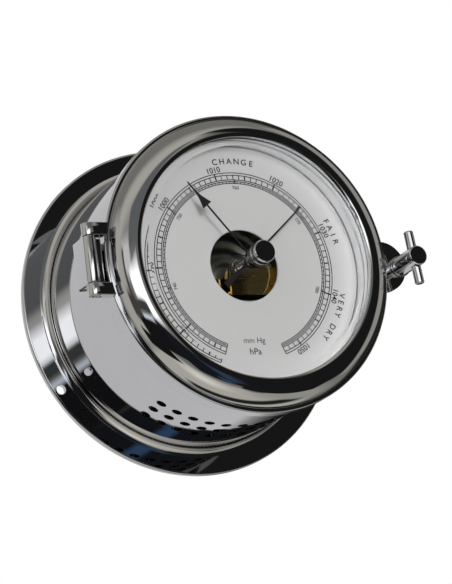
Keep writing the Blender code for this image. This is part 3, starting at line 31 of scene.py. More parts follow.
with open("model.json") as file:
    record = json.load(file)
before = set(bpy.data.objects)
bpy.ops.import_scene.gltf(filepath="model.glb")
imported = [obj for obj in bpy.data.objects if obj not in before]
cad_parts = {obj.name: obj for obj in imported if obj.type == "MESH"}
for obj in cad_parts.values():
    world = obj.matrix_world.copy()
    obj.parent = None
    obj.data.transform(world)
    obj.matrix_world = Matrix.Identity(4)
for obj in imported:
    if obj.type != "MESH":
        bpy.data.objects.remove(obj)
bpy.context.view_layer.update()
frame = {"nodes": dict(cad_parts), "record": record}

MM = 0.001
# A point nearer the axis than this counts as on it
ON_AXIS = 0.01

# How finely round pieces and curves are drawn
ROUND_STEPS = 256
SMALL_STEPS = 96
CAPSULE_STEPS = 128
BAR_STEPS = 64
SCREW_STEPS = 48
RIM_CURVE_STEPS = 8
COVE_CURVE_STEPS = 20
DISH_CURVE_STEPS = 16
BEZEL_CURVE_STEPS = 48
LIP_CURVE_STEPS = 12

# How corners are rounded: sizes, steps, and the angles that tell a corner from a curve
SEAM_EASE = 0.03
GLASS_EASE = 0.06
SCREW_EASE = 0.08
HUB_EASE = 0.10
LIP_EASE = 0.12
SMALL_EASE = 0.15
BROAD_EASE = 0.20
BLOCK_EASE = 0.45
LUG_EASE = 0.40
FRONT_BRIDGE_EASE = 0.30
REAR_BRIDGE_EASE = 0.22
WEB_EASE = 0.50
EASE_STEPS = 4
EASE_SHARE = 0.4
LONG_FLAT = 6.0
LONG_SIDE = 5.0
FLAT_SUPPORT = 0.6
CORNER_SUPPORT = 1.8
FLAT_ANGLE = 1.0
SMOOTH_ANGLE = 20.0
BEVEL_ANGLE = 35.0
BEVEL_STEPS = 3
SHARP_ANGLE = 42.0
GROWN_SHARP_ANGLE = 30.0
CHROME_SHARP_ANGLE = 28.0
BRASS_SHARP_ANGLE = 12.0
MERGE_DISTANCE = 0.02

# Base flange, case tube and back
FLANGE_RADIUS = 90.0
FLANGE_THICKNESS = 3.0
FLANGE_EDGE_ROUND = 1.0
FLANGE_BORE = 67.0
FOOT_INNER = 76.3
FOOT_OUTER = 80.6
FOOT_FRONT = 6.6
FOOT_LAND = 0.5
COVE_CENTRE_RADIUS = 81.2
COVE_START = 261.0
COVE_END = 180.0
REBATE_RADIUS = 72.8
REBATE_FRONT = 1.8
MOUNT_HOLE_RADIUS = 2.6
MOUNT_HOLE_CIRCLE = 85.5
MOUNT_HOLE_COUNT = 3
MOUNT_HOLE_BACK = -1.0
SCREW_HOLE_BACK = 1.0
HOLE_FRONT = 5.0
BACK_SCREW_CIRCLE = 69.75
BACK_SCREW_HOLE = 1.2
BACK_SCREW_COUNT = 4
BACK_SCREW_FIRST_ANGLE = 45.0
BACK_SCREW_FACE = 0.3
BACK_SCREW_HEAD_RADIUS = 1.8
BACK_SCREW_SHANK_RADIUS = 0.9
BACK_SCREW_LENGTH = 2.2
SCREW_SLOT_WIDTH = 0.45
SCREW_SLOT_DEPTH = 0.45
CASE_RADIUS = 76.0
CASE_BORE = 74.4
TUBE_BACK = 3.3
TUBE_FRONT = 73.8
VENT_RADIUS = 2.75
VENT_COLUMNS = 10
VENT_ROWS = 3
VENT_COLUMN_STEP = 7.0
VENT_ROW_STEP = 10.3
VENT_FIRST_ROW = 31.2
VENT_SIDE_STEPS = 8
VENT_MIDDLE = 181.3
VENT_RIM_START = 225.0
TUBE_REST_STEPS = 166
TUBE_END_ROW = 0.3
TUBE_LEAD_ROWS = 3

# Dial and its print
SEAT_BACK = 73.82
DIAL_FRONT = 81.3
DIAL_BACK = 80.1
DIAL_RADIUS = 66.2
DIAL_OPENING_RADIUS = 19.0
DISH_START = 59.4
DISH_ROUND = 3.8
DISH_SLOPE = 60.0
DISH_EDGE = 63.0
INK_THICKNESS = 0.05
INK_WEIGHT = 0.06
CAPITAL_SHARE = 0.72
SCALE_HALF_SWEEP = 160.0
DEGREES_PER_HPA = 4.0
HPA_AT_TOP = 1013.0
HPA_PER_MM = 1.33322
ARC_WIDTH = 0.46
SCALE_ARCS = (49.8, 48.5, 46.0, 45.1, 44.1)
HPA_NUMBERS = (980, 990, 1000, 1010, 1020, 1030, 1040, 1050)
HPA_NUMBER_RADIUS = 52.1
HPA_NUMBER_HEIGHT = 3.0
MM_NUMBERS = (740, 750, 760, 770, 780)
MM_NUMBER_RADIUS = 41.8
MM_NUMBER_HEIGHT = 1.9
MM_NUMBER_WEIGHT = 0.03
MM_TICKS = 121
MM_TICK_WIDTH = 0.4
MM_TEN_TICK_WIDTH = 0.65
FIVE_TICK_WIDTH = 0.72
TEN_TICK_WIDTH = 0.75
WORD_RADIUS = 56.2
WORD_HEIGHT = 3.2
# Word, middle angle and step between letters
SCALE_WORDS = (("CHANGE", 1.0, 4.24), ("FAIR", 70.2, 4.03), ("VERY DRY", 119.8, 3.8))
# Unit, height, radius and weight
UNIT_WORDS = (("mm Hg", 3.0, -39.5, 0.0), ("hPa", 3.4, -45.3, 0.03))

# Bezel and glass
BEZEL_BACK = 81.6
BEZEL_RADIUS = 79.0
BEZEL_RIM_FRONT = 88.7
BEZEL_RIM_ROUND = 0.9
BEZEL_ROUND_RADIUS = 76.8
LUG_END_RADIUS = 79.4
BEZEL_CREST = 99.4
BEZEL_CREST_RADIUS = 65.3
LIP_FRONT = 98.6
LIP_BACK = 97.6
LIP_RADIUS = 63.5
LIP_EDGE = 96.3
LIP_EDGE_RADIUS = 64.15
LIP_EDGE_WIDTH = 0.25
BEZEL_BORE = 66.8
GLASS_RADIUS = 66.5
GLASS_BACK = 94.2
GLASS_FRONT = 97.8
GLASS_LAND = 96.15
GLASS_LAND_RADIUS = 63.4
GLASS_BEVEL_RADIUS = 59.6
GLASS_HOLE_RADIUS = 3.5
RETAINER_BACK = 81.9
RETAINER_FRONT = 94.1
SEAT_BORE = 66.5
SEAT_SPIGOT_BACK = 69.1
SEAT_SPIGOT_RADIUS = 74.1
DIAL_LEDGE = 79.8
DIAL_LEDGE_BORE = 62.0
GASKET_GROOVE_INNER = 70.5
GASKET_GROOVE_OUTER = 73.5
GASKET_GROOVE_FLOOR = 79.8

# Hands
HAND_THICKNESS = 0.6
SET_HAND_ANGLE = -37.6
SET_HAND_LENGTH = 51.4
SET_HUB_RADIUS = 3.2
SET_HUB_BORE = 1.5
SET_HUB_BACK = 91.4
SET_HUB_FRONT = 92.6
SET_HUB_OVERLAP = 0.4
SET_STEM_WIDTH = 0.7
SET_TIP_WIDTH = 0.45
ARROW_START = 35.8
ARROW_END = 45.2
ARROW_WIDTH = 6.0
ARROW_STEPS = 8
ARROW_HOLLOW = 1.6
ARROW_OVERLAP = 0.5
POINTER_ANGLE = 48.5
POINTER_LENGTH = 46.5
POINTER_WIDTH = 1.1
POINTER_TIP_WIDTH = 0.6
POINTER_ROOT = 1.5
POINTER_TAIL = 17.5
POINTER_TAIL_WIDTH = 3.6
POINTER_HUB_RADIUS = 2.6
POINTER_HUB_BACK = 83.8
POINTER_HUB_FRONT = 85.6

# Knob, closure, hinge, capsule and front bridge
KNOB_RADIUS = 6.0
KNOB_BACK = 99.6
KNOB_FRONT = 107.4
KNOB_KNURL_FRONT = 102.4
KNOB_NECK_RADIUS = 5.4
KNOB_CHAMFER = 0.5
KNOB_TAPER = 0.1
KNOB_CROWN = 0.7
KNOB_GROOVE = 0.4
KNOB_SHOULDER = 0.7
KNURL_DEPTH = 0.25
KNURL_BACK_CHAMFER = 0.3
KNURL_FRONT_CHAMFER = 0.2
KNOB_RIDGES = 60
RIDGE_HEIGHT = 0.6
RIDGE_WIDTH = 0.32
RIDGE_BACK = 99.95
RIDGE_FRONT = 102.15
KNOB_BORE = 1.8
KNOB_BLIND = 105.7
CLOSURE_X = 90.3
HANDLE_RADIUS = 5.2
HANDLE_BACK = 84.4
HANDLE_FRONT = 103.3
STUD_RADIUS = 2.1
STUD_BACK = 75.2
STUD_CHAMFER = 0.3
HANDLE_CHAMFER = 0.5
TAB_RADIUS = 13.6
TAB_CENTRE_X = 79.9
HINGE_WEB_LEFT = -87.2
HINGE_WEB_RIGHT = -79.8
HINGE_WEB_BACK = 79.5
HINGE_WEB_FRONT = 87.0
HINGE_WEB_LENGTH = 23.8
WASHER_BORE = 2.4
WASHER_RADIUS = 5.6
WASHER_BACK = 83.1
WASHER_FRONT = 84.1
T_BAR_RADIUS = 2.5
T_BAR_LENGTH = 28.4
T_BAR_FORWARD = 98.4
T_BAR_ANGLE = -5.2
T_BAR_CHAMFER = 0.5
CAPSULE_RADIUS = 30.0
CAPSULE_BACK = 49.5
CAPSULE_FRONT = 59.0
CAPSULE_RIM = 2.0
CAPSULE_BOSS_RADIUS = 5.5
CAPSULE_WELL_RADIUS = 1.8
CAPSULE_WELL = 57.1
CAPSULE_WAVES = 3
CAPSULE_WAVE_STEPS = 16
CAPSULE_WAVE_HEIGHT = 1.0
CAPSULE_BACK_BEVEL = 2.0
BRIDGE_STEP_LEFT = -10.0
BRIDGE_STEP_RIGHT = 30.0
BRIDGE_STEP = ((75.45, -5.2), (77.0, -5.2), (77.0, -15.0), (75.1, -15.0))


# Mesh helpers

def on_clock(radius, angle):
    """(x, z) in millimetres at a clock angle."""
    turn = math.radians(angle)
    return radius * math.sin(turn), radius * math.cos(turn)


def box(inner, outer, back, front):
    """The section of a plain ring or rod."""
    return [(inner, back), (outer, back), (outer, front), (inner, front)]


def curve(centre, half_sizes, start, end, steps):
    """(radius, forward) points on an ellipse, angles from the radial direction towards the front."""
    points = []
    for step in range(steps + 1):
        turn = math.radians(start + (end - start) * step / steps)
        radius = centre[0] + half_sizes[0] * math.cos(turn)
        forward = centre[1] + half_sizes[1] * math.sin(turn)
        points.append((radius, forward))
    return points


def eased(points, size):
    """A closed section with its corners rounded and a support row beside each, so that flats stay flat."""
    result = []
    for index, point in enumerate(points):
        corner = Vector(point)
        before = Vector(points[index - 1]) - corner
        after = Vector(points[(index + 1) % len(points)]) - corner
        smooth = before.angle(-after) < math.radians(SMOOTH_ANGLE)
        if smooth or corner.x < ON_AXIS:
            if smooth and before.length > LONG_FLAT * after.length:
                result.append(corner + before.normalized() * after.length * FLAT_SUPPORT)
            result.append(corner)
            if smooth and after.length > LONG_FLAT * before.length:
                result.append(corner + after.normalized() * before.length * FLAT_SUPPORT)
            continue
        reach = min(size, before.length * EASE_SHARE, after.length * EASE_SHARE)
        start = corner + before.normalized() * reach
        end = corner + after.normalized() * reach
        if before.length > LONG_SIDE * reach:
            result.append(corner + before.normalized() * reach * CORNER_SUPPORT)
        for step in range(EASE_STEPS + 1):
            share = step / EASE_STEPS
            result.append(start.lerp(corner, share).lerp(corner.lerp(end, share), share))
        if after.length > LONG_SIDE * reach:
            result.append(corner + after.normalized() * reach * CORNER_SUPPORT)
    return [(point.x, point.y) for point in result]


def shade(mesh, angle=SHARP_ANGLE):
    """Smooth faces with sharp edges where two faces meet steeply."""
    mesh.shade_smooth()
    mesh.set_sharp_from_angle(angle=math.radians(angle))


def show(name, data):
    """A new object in the scene."""
    item = bpy.data.objects.new(name, data)
    bpy.context.scene.collection.objects.link(item)
    return item


def add_vertex(shape, x, forward, z):
    return shape.verts.new((x * MM, -forward * MM, z * MM))


def add_clock_vertex(shape, radius, angle, forward, centre=(0.0, 0.0)):
    x, z = on_clock(radius, angle)
    return add_vertex(shape, centre[0] + x, forward, centre[1] + z)


def make_object(name, shape, material, angle=SHARP_ANGLE):
    """An object from an edited mesh, with its faces turned outwards."""
    bmesh.ops.recalc_face_normals(shape, faces=shape.faces)
    mesh = bpy.data.meshes.new(name)
    shape.to_mesh(mesh)
    shape.free()
    shade(mesh, angle)
    mesh.materials.append(material)
    return show(name, mesh)


def bridge_rings(shape, first, second):
    """Faces between two rings of vertices, either of which may be a single point on the axis."""
    count = max(len(first), len(second))
    if count == 1:
        return
    for step in range(count):
        corners = []
        for ring, place in ((first, step), (first, step + 1), (second, step + 1), (second, step)):
            vertex = ring[place % len(ring)]
            if vertex not in corners:
                corners.append(vertex)
        shape.faces.new(corners)


def turn_section(shape, loop, steps, centre=(0.0, 0.0)):
    """Adds a closed turned solid about a line along Y."""
    rings = []
    for radius, forward in loop:
        ring = []
        for step in range(steps if radius > ON_AXIS else 1):
            ring.append(add_clock_vertex(shape, radius, 360.0 * step / steps, forward, centre))
        rings.append(ring)
    for first, second in zip(rings, rings[1:] + rings[:1]):
        bridge_rings(shape, first, second)


def turned(name, loop, material, steps=ROUND_STEPS, centre=(0.0, 0.0)):
    """A turned piece."""
    shape = bmesh.new()
    turn_section(shape, loop, steps, centre)
    return make_object(name, shape, material)


def settle(piece):
    """Turns a piece with a live modifier into a plain mesh."""
    graph = bpy.context.evaluated_depsgraph_get()
    mesh = bpy.data.meshes.new_from_object(piece.evaluated_get(graph))
    piece.modifiers.clear()
    spare = piece.data
    piece.data = mesh
    bpy.data.meshes.remove(spare)
    return piece


def cut_away(piece, cutter):
    """Takes a cutter's solid out of a piece, and removes the cutter."""
    cutting = piece.modifiers.new("cut", "BOOLEAN")
    cutting.operation = "DIFFERENCE"
    cutting.solver = "EXACT"
    cutting.object = cutter
    settle(piece)
    shade(piece.data)
    bpy.data.objects.remove(cutter)
    return piece


def eased_copy(node, material, size, angle, cutter=None):
    """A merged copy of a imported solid, trimmed by a cutter where asked for, with its edges rounded off."""
    shape = bmesh.new()
    shape.from_mesh(frame["nodes"][node].data)
    bmesh.ops.remove_doubles(shape, verts=shape.verts, dist=MERGE_DISTANCE * MM)
    if cutter:
        rough = cut_away(make_object(node + "_rough", shape, material), cutter)
        shape = bmesh.new()
        shape.from_mesh(rough.data)
        bpy.data.objects.remove(rough)
    bmesh.ops.dissolve_limit(shape, angle_limit=math.radians(FLAT_ANGLE), verts=shape.verts,
                             edges=shape.edges)
    sharp = []
    for edge in shape.edges:
        if len(edge.link_faces) == 2 and edge.calc_face_angle(0.0) > math.radians(BEVEL_ANGLE):
            sharp.append(edge)
    bmesh.ops.bevel(shape, geom=sharp, offset=size * MM, segments=BEVEL_STEPS, profile=0.5,
                    affect="EDGES", clamp_overlap=True)
    return make_object(node + "_eased", shape, material, angle)


def fit(piece, body, slot, *nodes):
    """Puts a finished piece on its body and hides the solids that it stands for; its material slot is not
    used.
    """
    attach(piece, body)
    if nodes:
        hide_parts(*nodes)


# Shader node groups shared by the finishes

FLOAT = "NodeSocketFloat"
COLOUR = "NodeSocketColor"
VECTOR = "NodeSocketVector"
PATCH_THRESHOLD = 0.35
PATCH_CONTRAST = 2.5
RIPPLE_SCALE = 0.6


def new_group(name, inputs, outputs):
    """An empty shader group with named sockets. Returns the group with its input and output nodes."""
    group = bpy.data.node_groups.new(name, "ShaderNodeTree")
    for socket_name, kind, value in inputs:
        socket = group.interface.new_socket(socket_name, in_out="INPUT", socket_type=kind)
        socket.default_value = value
    for socket_name, kind in outputs:
        group.interface.new_socket(socket_name, in_out="OUTPUT", socket_type=kind)
    return group, group.nodes.new("NodeGroupInput").outputs, group.nodes.new("NodeGroupOutput").inputs


def wire(tree, value, socket):
    """Links an output to a socket, or sets the socket to a plain value."""
    if isinstance(value, bpy.types.NodeSocket):
        tree.links.new(value, socket)
    else:
        socket.default_value = value


def add_node(tree, kind, inputs, **settings):
    """A node with its settings made, and its inputs linked or set by name or number."""
    node = tree.nodes.new(kind)
    for name, value in settings.items():
        setattr(node, name, value)
    for key, value in inputs.items():
        wire(tree, value, node.inputs[key])
    return node


def math_node(tree, operation, first, second=0.0, clamp=False):
    node = add_node(tree, "ShaderNodeMath", {0: first, 1: second}, operation=operation, use_clamp=clamp)
    return node.outputs[0]


def noise_node(tree, vector, scale, detail, roughness=0.5):
    inputs = {"Vector": vector, "Scale": scale, "Detail": detail, "Roughness": roughness}
    return add_node(tree, "ShaderNodeTexNoise", inputs).outputs["Fac"]


def mix_colours(tree, share, first, second):
    """The first colour at 0 and the second at 1."""
    return add_node(tree, "ShaderNodeMix", {0: share, 6: first, 7: second}, data_type="RGBA").outputs[2]


def mix_shaders(tree, share, first, second, leave):
    """Sends the first shader at 0 and the second at 1 to an output."""
    mix = add_node(tree, "ShaderNodeMixShader", {0: share, 1: first.outputs[0], 2: second.outputs[0]})
    tree.links.new(mix.outputs[0], leave.inputs["Surface"])


def join_axes(tree, **axes):
    return add_node(tree, "ShaderNodeCombineXYZ", axes).outputs[0]


def object_place(tree):
    return tree.nodes.new("ShaderNodeTexCoord").outputs["Object"]


def build_polish_group():
    """Roughness that drifts over a polished face, and the faint ripple that polishing leaves."""
    group, entry, leave = new_group(
        "Polishing Marks",
        (("Roughness", FLOAT, 0.05), ("Spread", FLOAT, 0.03), ("Grain Scale", FLOAT, 90.0)),
        (("Roughness", FLOAT), ("Ripple", FLOAT)))
    place = object_place(group)
    drift = noise_node(group, place, entry["Grain Scale"], detail=5.0, roughness=0.6)
    spread = math_node(group, "MULTIPLY", math_node(group, "SUBTRACT", drift, 0.5), entry["Spread"])
    group.links.new(math_node(group, "ADD", spread, entry["Roughness"], True), leave["Roughness"])
    fine = math_node(group, "MULTIPLY", entry["Grain Scale"], RIPPLE_SCALE)
    group.links.new(noise_node(group, place, fine, detail=2.0), leave["Ripple"])
    return group


def build_turned_group():
    """Fine lines round the instrument's axis, as a lathe leaves them."""
    group, entry, leave = new_group("Lathe Lines", (("Lines", FLOAT, 6000.0),), (("Height", FLOAT),))
    axes = add_node(group, "ShaderNodeSeparateXYZ", {0: object_place(group)}).outputs
    across = math_node(group, "MULTIPLY", axes["X"], axes["X"])
    upward = math_node(group, "MULTIPLY", axes["Z"], axes["Z"])
    radius = math_node(group, "SQRT", math_node(group, "ADD", across, upward))
    lines = noise_node(group, join_axes(group, X=radius, Y=axes["Y"]), entry["Lines"], detail=2.0)
    group.links.new(lines, leave["Height"])
    return group


def build_tarnish_group():
    """A clean colour that dulls in soft patches."""
    group, entry, leave = new_group(
        "Tarnish",
        (("Clean", COLOUR, (0.7, 0.7, 0.7, 1.0)), ("Dull", COLOUR, (0.5, 0.5, 0.5, 1.0)),
         ("Patch Scale", FLOAT, 60.0), ("Amount", FLOAT, 0.5)),
        (("Colour", COLOUR),))
    patches = noise_node(group, object_place(group), entry["Patch Scale"], detail=4.0, roughness=0.55)
    raised = math_node(group, "SUBTRACT", patches, PATCH_THRESHOLD)
    sharper = math_node(group, "MULTIPLY", raised, PATCH_CONTRAST, True)
    mask = math_node(group, "MULTIPLY", sharper, entry["Amount"], True)
    group.links.new(mix_colours(group, mask, entry["Clean"], entry["Dull"]), leave["Colour"])
    return group


POLISH = build_polish_group()
LATHE = build_turned_group()
TARNISH = build_tarnish_group()


# Finishes

LATHE_DEPTH = 0.00005
RIPPLE_DEPTH = 0.0001
METAL_RIPPLE = 0.01
PAINT_PATCH_SCALE = 35.0
GLASS_COLOUR = (0.99, 0.99, 0.99, 1.0)
GLASS_SHADOW = (0.945, 0.945, 0.945, 1.0)
GLASS_INDEX = 1.5
GLASS_SPREAD = 0.004
GLASS_GRAIN = 40.0


def place_group(tree, group, **values):
    """A shader group in a tree, with its inputs linked or set by socket name. Returns its outputs."""
    inputs = {name.replace("_", " "): value for name, value in values.items()}
    return add_node(tree, "ShaderNodeGroup", inputs, node_tree=group).outputs


def start_finish(name, metallic):
    """A material with one Principled shader. Returns the material, its tree and the shader."""
    material = bpy.data.materials.new(name)
    material.use_nodes = True
    tree = material.node_tree
    shader = tree.nodes["Principled BSDF"]
    shader.inputs["Metallic"].default_value = metallic
    return material, tree, shader


def add_bump(tree, shader, height, strength, distance):
    bump = add_node(tree, "ShaderNodeBump", {"Strength": strength, "Distance": distance, "Height": height})
    tree.links.new(bump.outputs["Normal"], shader.inputs["Normal"])


def add_colour(tree, shader, clean, dull, **values):
    tarnish = place_group(tree, TARNISH, Clean=clean + (1.0,), Dull=dull + (1.0,), **values)
    tree.links.new(tarnish["Colour"], shader.inputs["Base Color"])


def add_polish(tree, shader, **values):
    polish = place_group(tree, POLISH, **values)
    tree.links.new(polish["Roughness"], shader.inputs["Roughness"])
    return polish["Ripple"]


def metal_finish(name, clean, dull, amount, roughness, spread, lathe_strength=0.0):
    """A bare or plated metal: soft dull patches, drifting polish and, where asked for, lathe lines."""
    material, tree, shader = start_finish(name, 1.0)
    add_colour(tree, shader, clean, dull, Amount=amount)
    ripple = add_polish(tree, shader, Roughness=roughness, Spread=spread)
    if lathe_strength:
        add_bump(tree, shader, place_group(tree, LATHE)["Height"], lathe_strength, LATHE_DEPTH)
    else:
        add_bump(tree, shader, ripple, METAL_RIPPLE, RIPPLE_DEPTH)
    return material


def painted_finish(name, clean, dull, roughness, spread, grain, bump, shine=0.5):
    """Paint, print or rubber: a colour with slight patches, and a fine grain."""
    material, tree, shader = start_finish(name, 0.0)
    shader.inputs["Specular IOR Level"].default_value = shine
    add_colour(tree, shader, clean, dull, Patch_Scale=PAINT_PATCH_SCALE)
    ripple = add_polish(tree, shader, Roughness=roughness, Spread=spread, Grain_Scale=grain)
    add_bump(tree, shader, ripple, bump, RIPPLE_DEPTH)
    return material


def glass_finish(name):
    """Clear polished glass that lets lamp light through to the dial."""
    material, tree, shader = start_finish(name, 0.0)
    shader.inputs["Base Color"].default_value = GLASS_COLOUR
    shader.inputs["Transmission Weight"].default_value = 1.0
    shader.inputs["IOR"].default_value = GLASS_INDEX
    add_polish(tree, shader, Roughness=0.0, Spread=GLASS_SPREAD, Grain_Scale=GLASS_GRAIN)
    path = tree.nodes.new("ShaderNodeLightPath").outputs
    through = add_node(tree, "ShaderNodeBsdfTransparent", {"Color": GLASS_SHADOW})
    passing = math_node(tree, "MAXIMUM", path["Is Shadow Ray"], path["Is Diffuse Ray"])
    mix_shaders(tree, passing, shader, through, tree.nodes["Material Output"])
    return material


def grey(level):
    return level, level, level


# Name, clean colour, dull colour, share of dull, roughness, its spread and the strength of lathe lines
CHROME = metal_finish("polished_chrome", (0.67, 0.67, 0.68), (0.62, 0.62, 0.63), 0.4, 0.03, 0.03)
SATIN_CHROME = metal_finish("satin_chrome", (0.89, 0.90, 0.915), (0.82, 0.83, 0.845), 0.5, 0.36, 0.10, 0.12)
BRASS = metal_finish("lacquered_brass", (0.66, 0.50, 0.18), (0.46, 0.32, 0.10), 0.6, 0.07, 0.06)
STEEL = metal_finish("bright_steel", (0.56, 0.57, 0.59), (0.42, 0.43, 0.45), 0.5, 0.20, 0.12, 0.2)
# Near-black blued steel for the hairspring: the blue is real, its darkness is painted shade for the dark
# inside of the case
BLUED_AND_SHADED_STEEL = metal_finish("blued_and_shaded_steel", (0.05, 0.055, 0.075), (0.03, 0.03, 0.04), 0.5, 0.25, 0.1)
CAPSULE_METAL = metal_finish("oxidised_capsule", (0.23, 0.23, 0.195), (0.14, 0.14, 0.115), 0.7, 0.30,
                             0.10, 0.06)
# Name, clean colour, dull colour, roughness, its spread, grain, bump and shine
DIAL_WHITE = painted_finish("silvered_dial", grey(0.615), grey(0.60), 0.5, 0.1, 700.0, 0.02, 0.3)
ENAMEL = painted_finish("black_enamel", grey(0.012), grey(0.02), 0.4, 0.15, 300.0, 0.05, 0.15)
INK = painted_finish("dial_ink", (0.012, 0.012, 0.013), (0.022, 0.022, 0.023), 0.55, 0.1, 900.0, 0.02, 0.15)
RUBBER = painted_finish("black_rubber", grey(0.020), (0.035, 0.035, 0.034), 0.75, 0.2, 500.0, 0.2)
GLASS = glass_finish("bevelled_glass")

SLOT_FINISHES = {
    "chrome": CHROME, "silvered_dial": DIAL_WHITE, "black_enamel": ENAMEL, "rubber": RUBBER,
    "glass": GLASS, "capsule_metal": CAPSULE_METAL, "steel": STEEL, "brass": BRASS,
}


def finish_packed_solids():
    """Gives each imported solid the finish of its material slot."""
    for part in frame["record"]["subparts"]:
        node = frame["nodes"][part["node"]]
        # The hairspring alone takes the blued steel that is darkened as painted shade
        finish = BLUED_AND_SHADED_STEEL if part["node"] == "hairspring" else SLOT_FINISHES[part["material_slot"]]
        if not node.material_slots:
            node.data.materials.append(finish)
        for slot in node.material_slots:
            slot.material = finish


# Geometry Nodes trees for what repeats round the axis

RING_INPUTS = (("Count", "NodeSocketInt"), ("First Angle", FLOAT), ("Angle Step", FLOAT),
               ("Finish", "NodeSocketMaterial"))


def new_ring_tree(name, inputs):
    """A Geometry Nodes tree with the ring's inputs, inputs of its own, and one geometry output."""
    tree = bpy.data.node_groups.new(name, "GeometryNodeTree")
    tree.interface.new_socket("Geometry", in_out="OUTPUT", socket_type="NodeSocketGeometry")
    for socket_name, kind in RING_INPUTS + inputs:
        tree.interface.new_socket(socket_name, in_out="INPUT", socket_type=kind)
    return tree, tree.nodes.new("NodeGroupInput").outputs


def finish_ring(tree, entry, radius, forward, shape):
    """Sets copies of a shape round the axis, makes them real and gives them the tree's finish."""
    index = tree.nodes.new("GeometryNodeInputIndex").outputs[0]
    turned_by = math_node(tree, "MULTIPLY", index, entry["Angle Step"])
    angle = math_node(tree, "RADIANS", math_node(tree, "ADD", turned_by, entry["First Angle"]))
    x = math_node(tree, "MULTIPLY", radius, math_node(tree, "SINE", angle))
    y = math_node(tree, "MULTIPLY", forward, -1.0)
    z = math_node(tree, "MULTIPLY", radius, math_node(tree, "COSINE", angle))
    place = {"Count": entry["Count"], "Position": join_axes(tree, X=x, Y=y, Z=z)}
    points = add_node(tree, "GeometryNodePoints", place).outputs[0]
    copying = {"Points": points, "Instance": shape, "Rotation": join_axes(tree, Y=angle)}
    copies = add_node(tree, "GeometryNodeInstanceOnPoints", copying).outputs[0]
    real = add_node(tree, "GeometryNodeRealizeInstances", {0: copies}).outputs[0]
    paint = add_node(tree, "GeometryNodeSetMaterial", {"Geometry": real, "Material": entry["Finish"]})
    tree.links.new(paint.outputs[0], tree.nodes.new("NodeGroupOutput").inputs[0])
    return tree


def build_bar_ring_tree():
    """Straight bars that stand on radii: scale ticks on the dial and ridges on the knob."""
    names = ("Inner Radius", "Outer Radius", "Width", "Back", "Front")
    tree, entry = new_ring_tree("Ring Of Bars", tuple((name, FLOAT) for name in names))
    middles = []
    sizes = []
    for low, high in (("Inner Radius", "Outer Radius"), ("Back", "Front")):
        middles.append(math_node(tree, "MULTIPLY", math_node(tree, "ADD", entry[low], entry[high]), 0.5))
        sizes.append(math_node(tree, "SUBTRACT", entry[high], entry[low]))
    size = join_axes(tree, X=entry["Width"], Y=sizes[1], Z=sizes[0])
    bar = add_node(tree, "GeometryNodeMeshCube", {"Size": size}).outputs["Mesh"]
    return finish_ring(tree, entry, middles[0], middles[1], bar)


def build_copy_ring_tree():
    """Copies of a made part, such as a slotted screw, set round the axis."""
    tree, entry = new_ring_tree("Ring Of Parts", (
        ("Part", "NodeSocketObject"), ("Radius", FLOAT), ("Forward", FLOAT)))
    part = add_node(tree, "GeometryNodeObjectInfo", {"Object": entry["Part"]}).outputs["Geometry"]
    return finish_ring(tree, entry, entry["Radius"], entry["Forward"], part)


BAR_RING = build_bar_ring_tree()
COPY_RING = build_copy_ring_tree()


def grow(name, tree, **values):
    """A plain mesh piece from a Geometry Nodes tree and its values by input name."""
    piece = show(name, bpy.data.meshes.new(name))
    modifier = piece.modifiers.new("grow", "NODES")
    modifier.node_group = tree
    keys = {item.name: item.identifier for item in tree.interface.items_tree if item.in_out == "INPUT"}
    for label, value in values.items():
        modifier[keys[label.replace("_", " ")]] = value
    settle(piece)
    shade(piece.data, GROWN_SHARP_ANGLE)
    return piece


# Case

def block_shape(width, depth, height, x=0.0, forward=0.0):
    """An edited mesh of a plain block, level with the axis."""
    shape = bmesh.new()
    size = Matrix.Diagonal((width * MM, depth * MM, height * MM, 1.0))
    place = Matrix.Translation((x * MM, -forward * MM, 0.0))
    bmesh.ops.create_cube(shape, size=1.0, matrix=place @ size)
    return shape


def drill_ring(piece, name, circle, count, first_angle, radius, back):
    """Cuts round holes through a piece, evenly round the axis."""
    shape = bmesh.new()
    for number in range(count):
        place = on_clock(circle, first_angle + 360.0 * number / count)
        turn_section(shape, box(0.0, radius, back, HOLE_FRONT), SCREW_STEPS, place)
    cut_away(piece, make_object(name, shape, CHROME))


def build_flange():
    """The flange with its rounded rim, its hollow foot moulding and its holes."""
    rim = curve((FLANGE_RADIUS - FLANGE_EDGE_ROUND, FLANGE_THICKNESS - FLANGE_EDGE_ROUND),
                (FLANGE_EDGE_ROUND, FLANGE_EDGE_ROUND), 0.0, 90.0, RIM_CURVE_STEPS)
    cove_size = (COVE_CENTRE_RADIUS - FOOT_INNER - FOOT_LAND, FOOT_FRONT - FLANGE_THICKNESS)
    cove = curve((COVE_CENTRE_RADIUS, FOOT_FRONT), cove_size, COVE_START, COVE_END, COVE_CURVE_STEPS)
    loop = [(REBATE_RADIUS, 0.0), (FLANGE_RADIUS, 0.0)] + rim
    loop += [(FOOT_OUTER, FLANGE_THICKNESS)] + cove
    loop += [(FOOT_INNER, FOOT_FRONT), (FOOT_INNER, FLANGE_THICKNESS), (FLANGE_BORE, FLANGE_THICKNESS)]
    loop += [(FLANGE_BORE, REBATE_FRONT), (REBATE_RADIUS, REBATE_FRONT)]
    flange = turned("flange_dressed", eased(loop, BROAD_EASE), CHROME)
    drill_ring(flange, "mount_holes", MOUNT_HOLE_CIRCLE, MOUNT_HOLE_COUNT, 0.0, MOUNT_HOLE_RADIUS,
               MOUNT_HOLE_BACK)
    drill_ring(flange, "screw_holes", BACK_SCREW_CIRCLE, BACK_SCREW_COUNT, BACK_SCREW_FIRST_ANGLE,
               BACK_SCREW_HOLE, SCREW_HOLE_BACK)
    fit(flange, "case", "chrome", "base_flange")


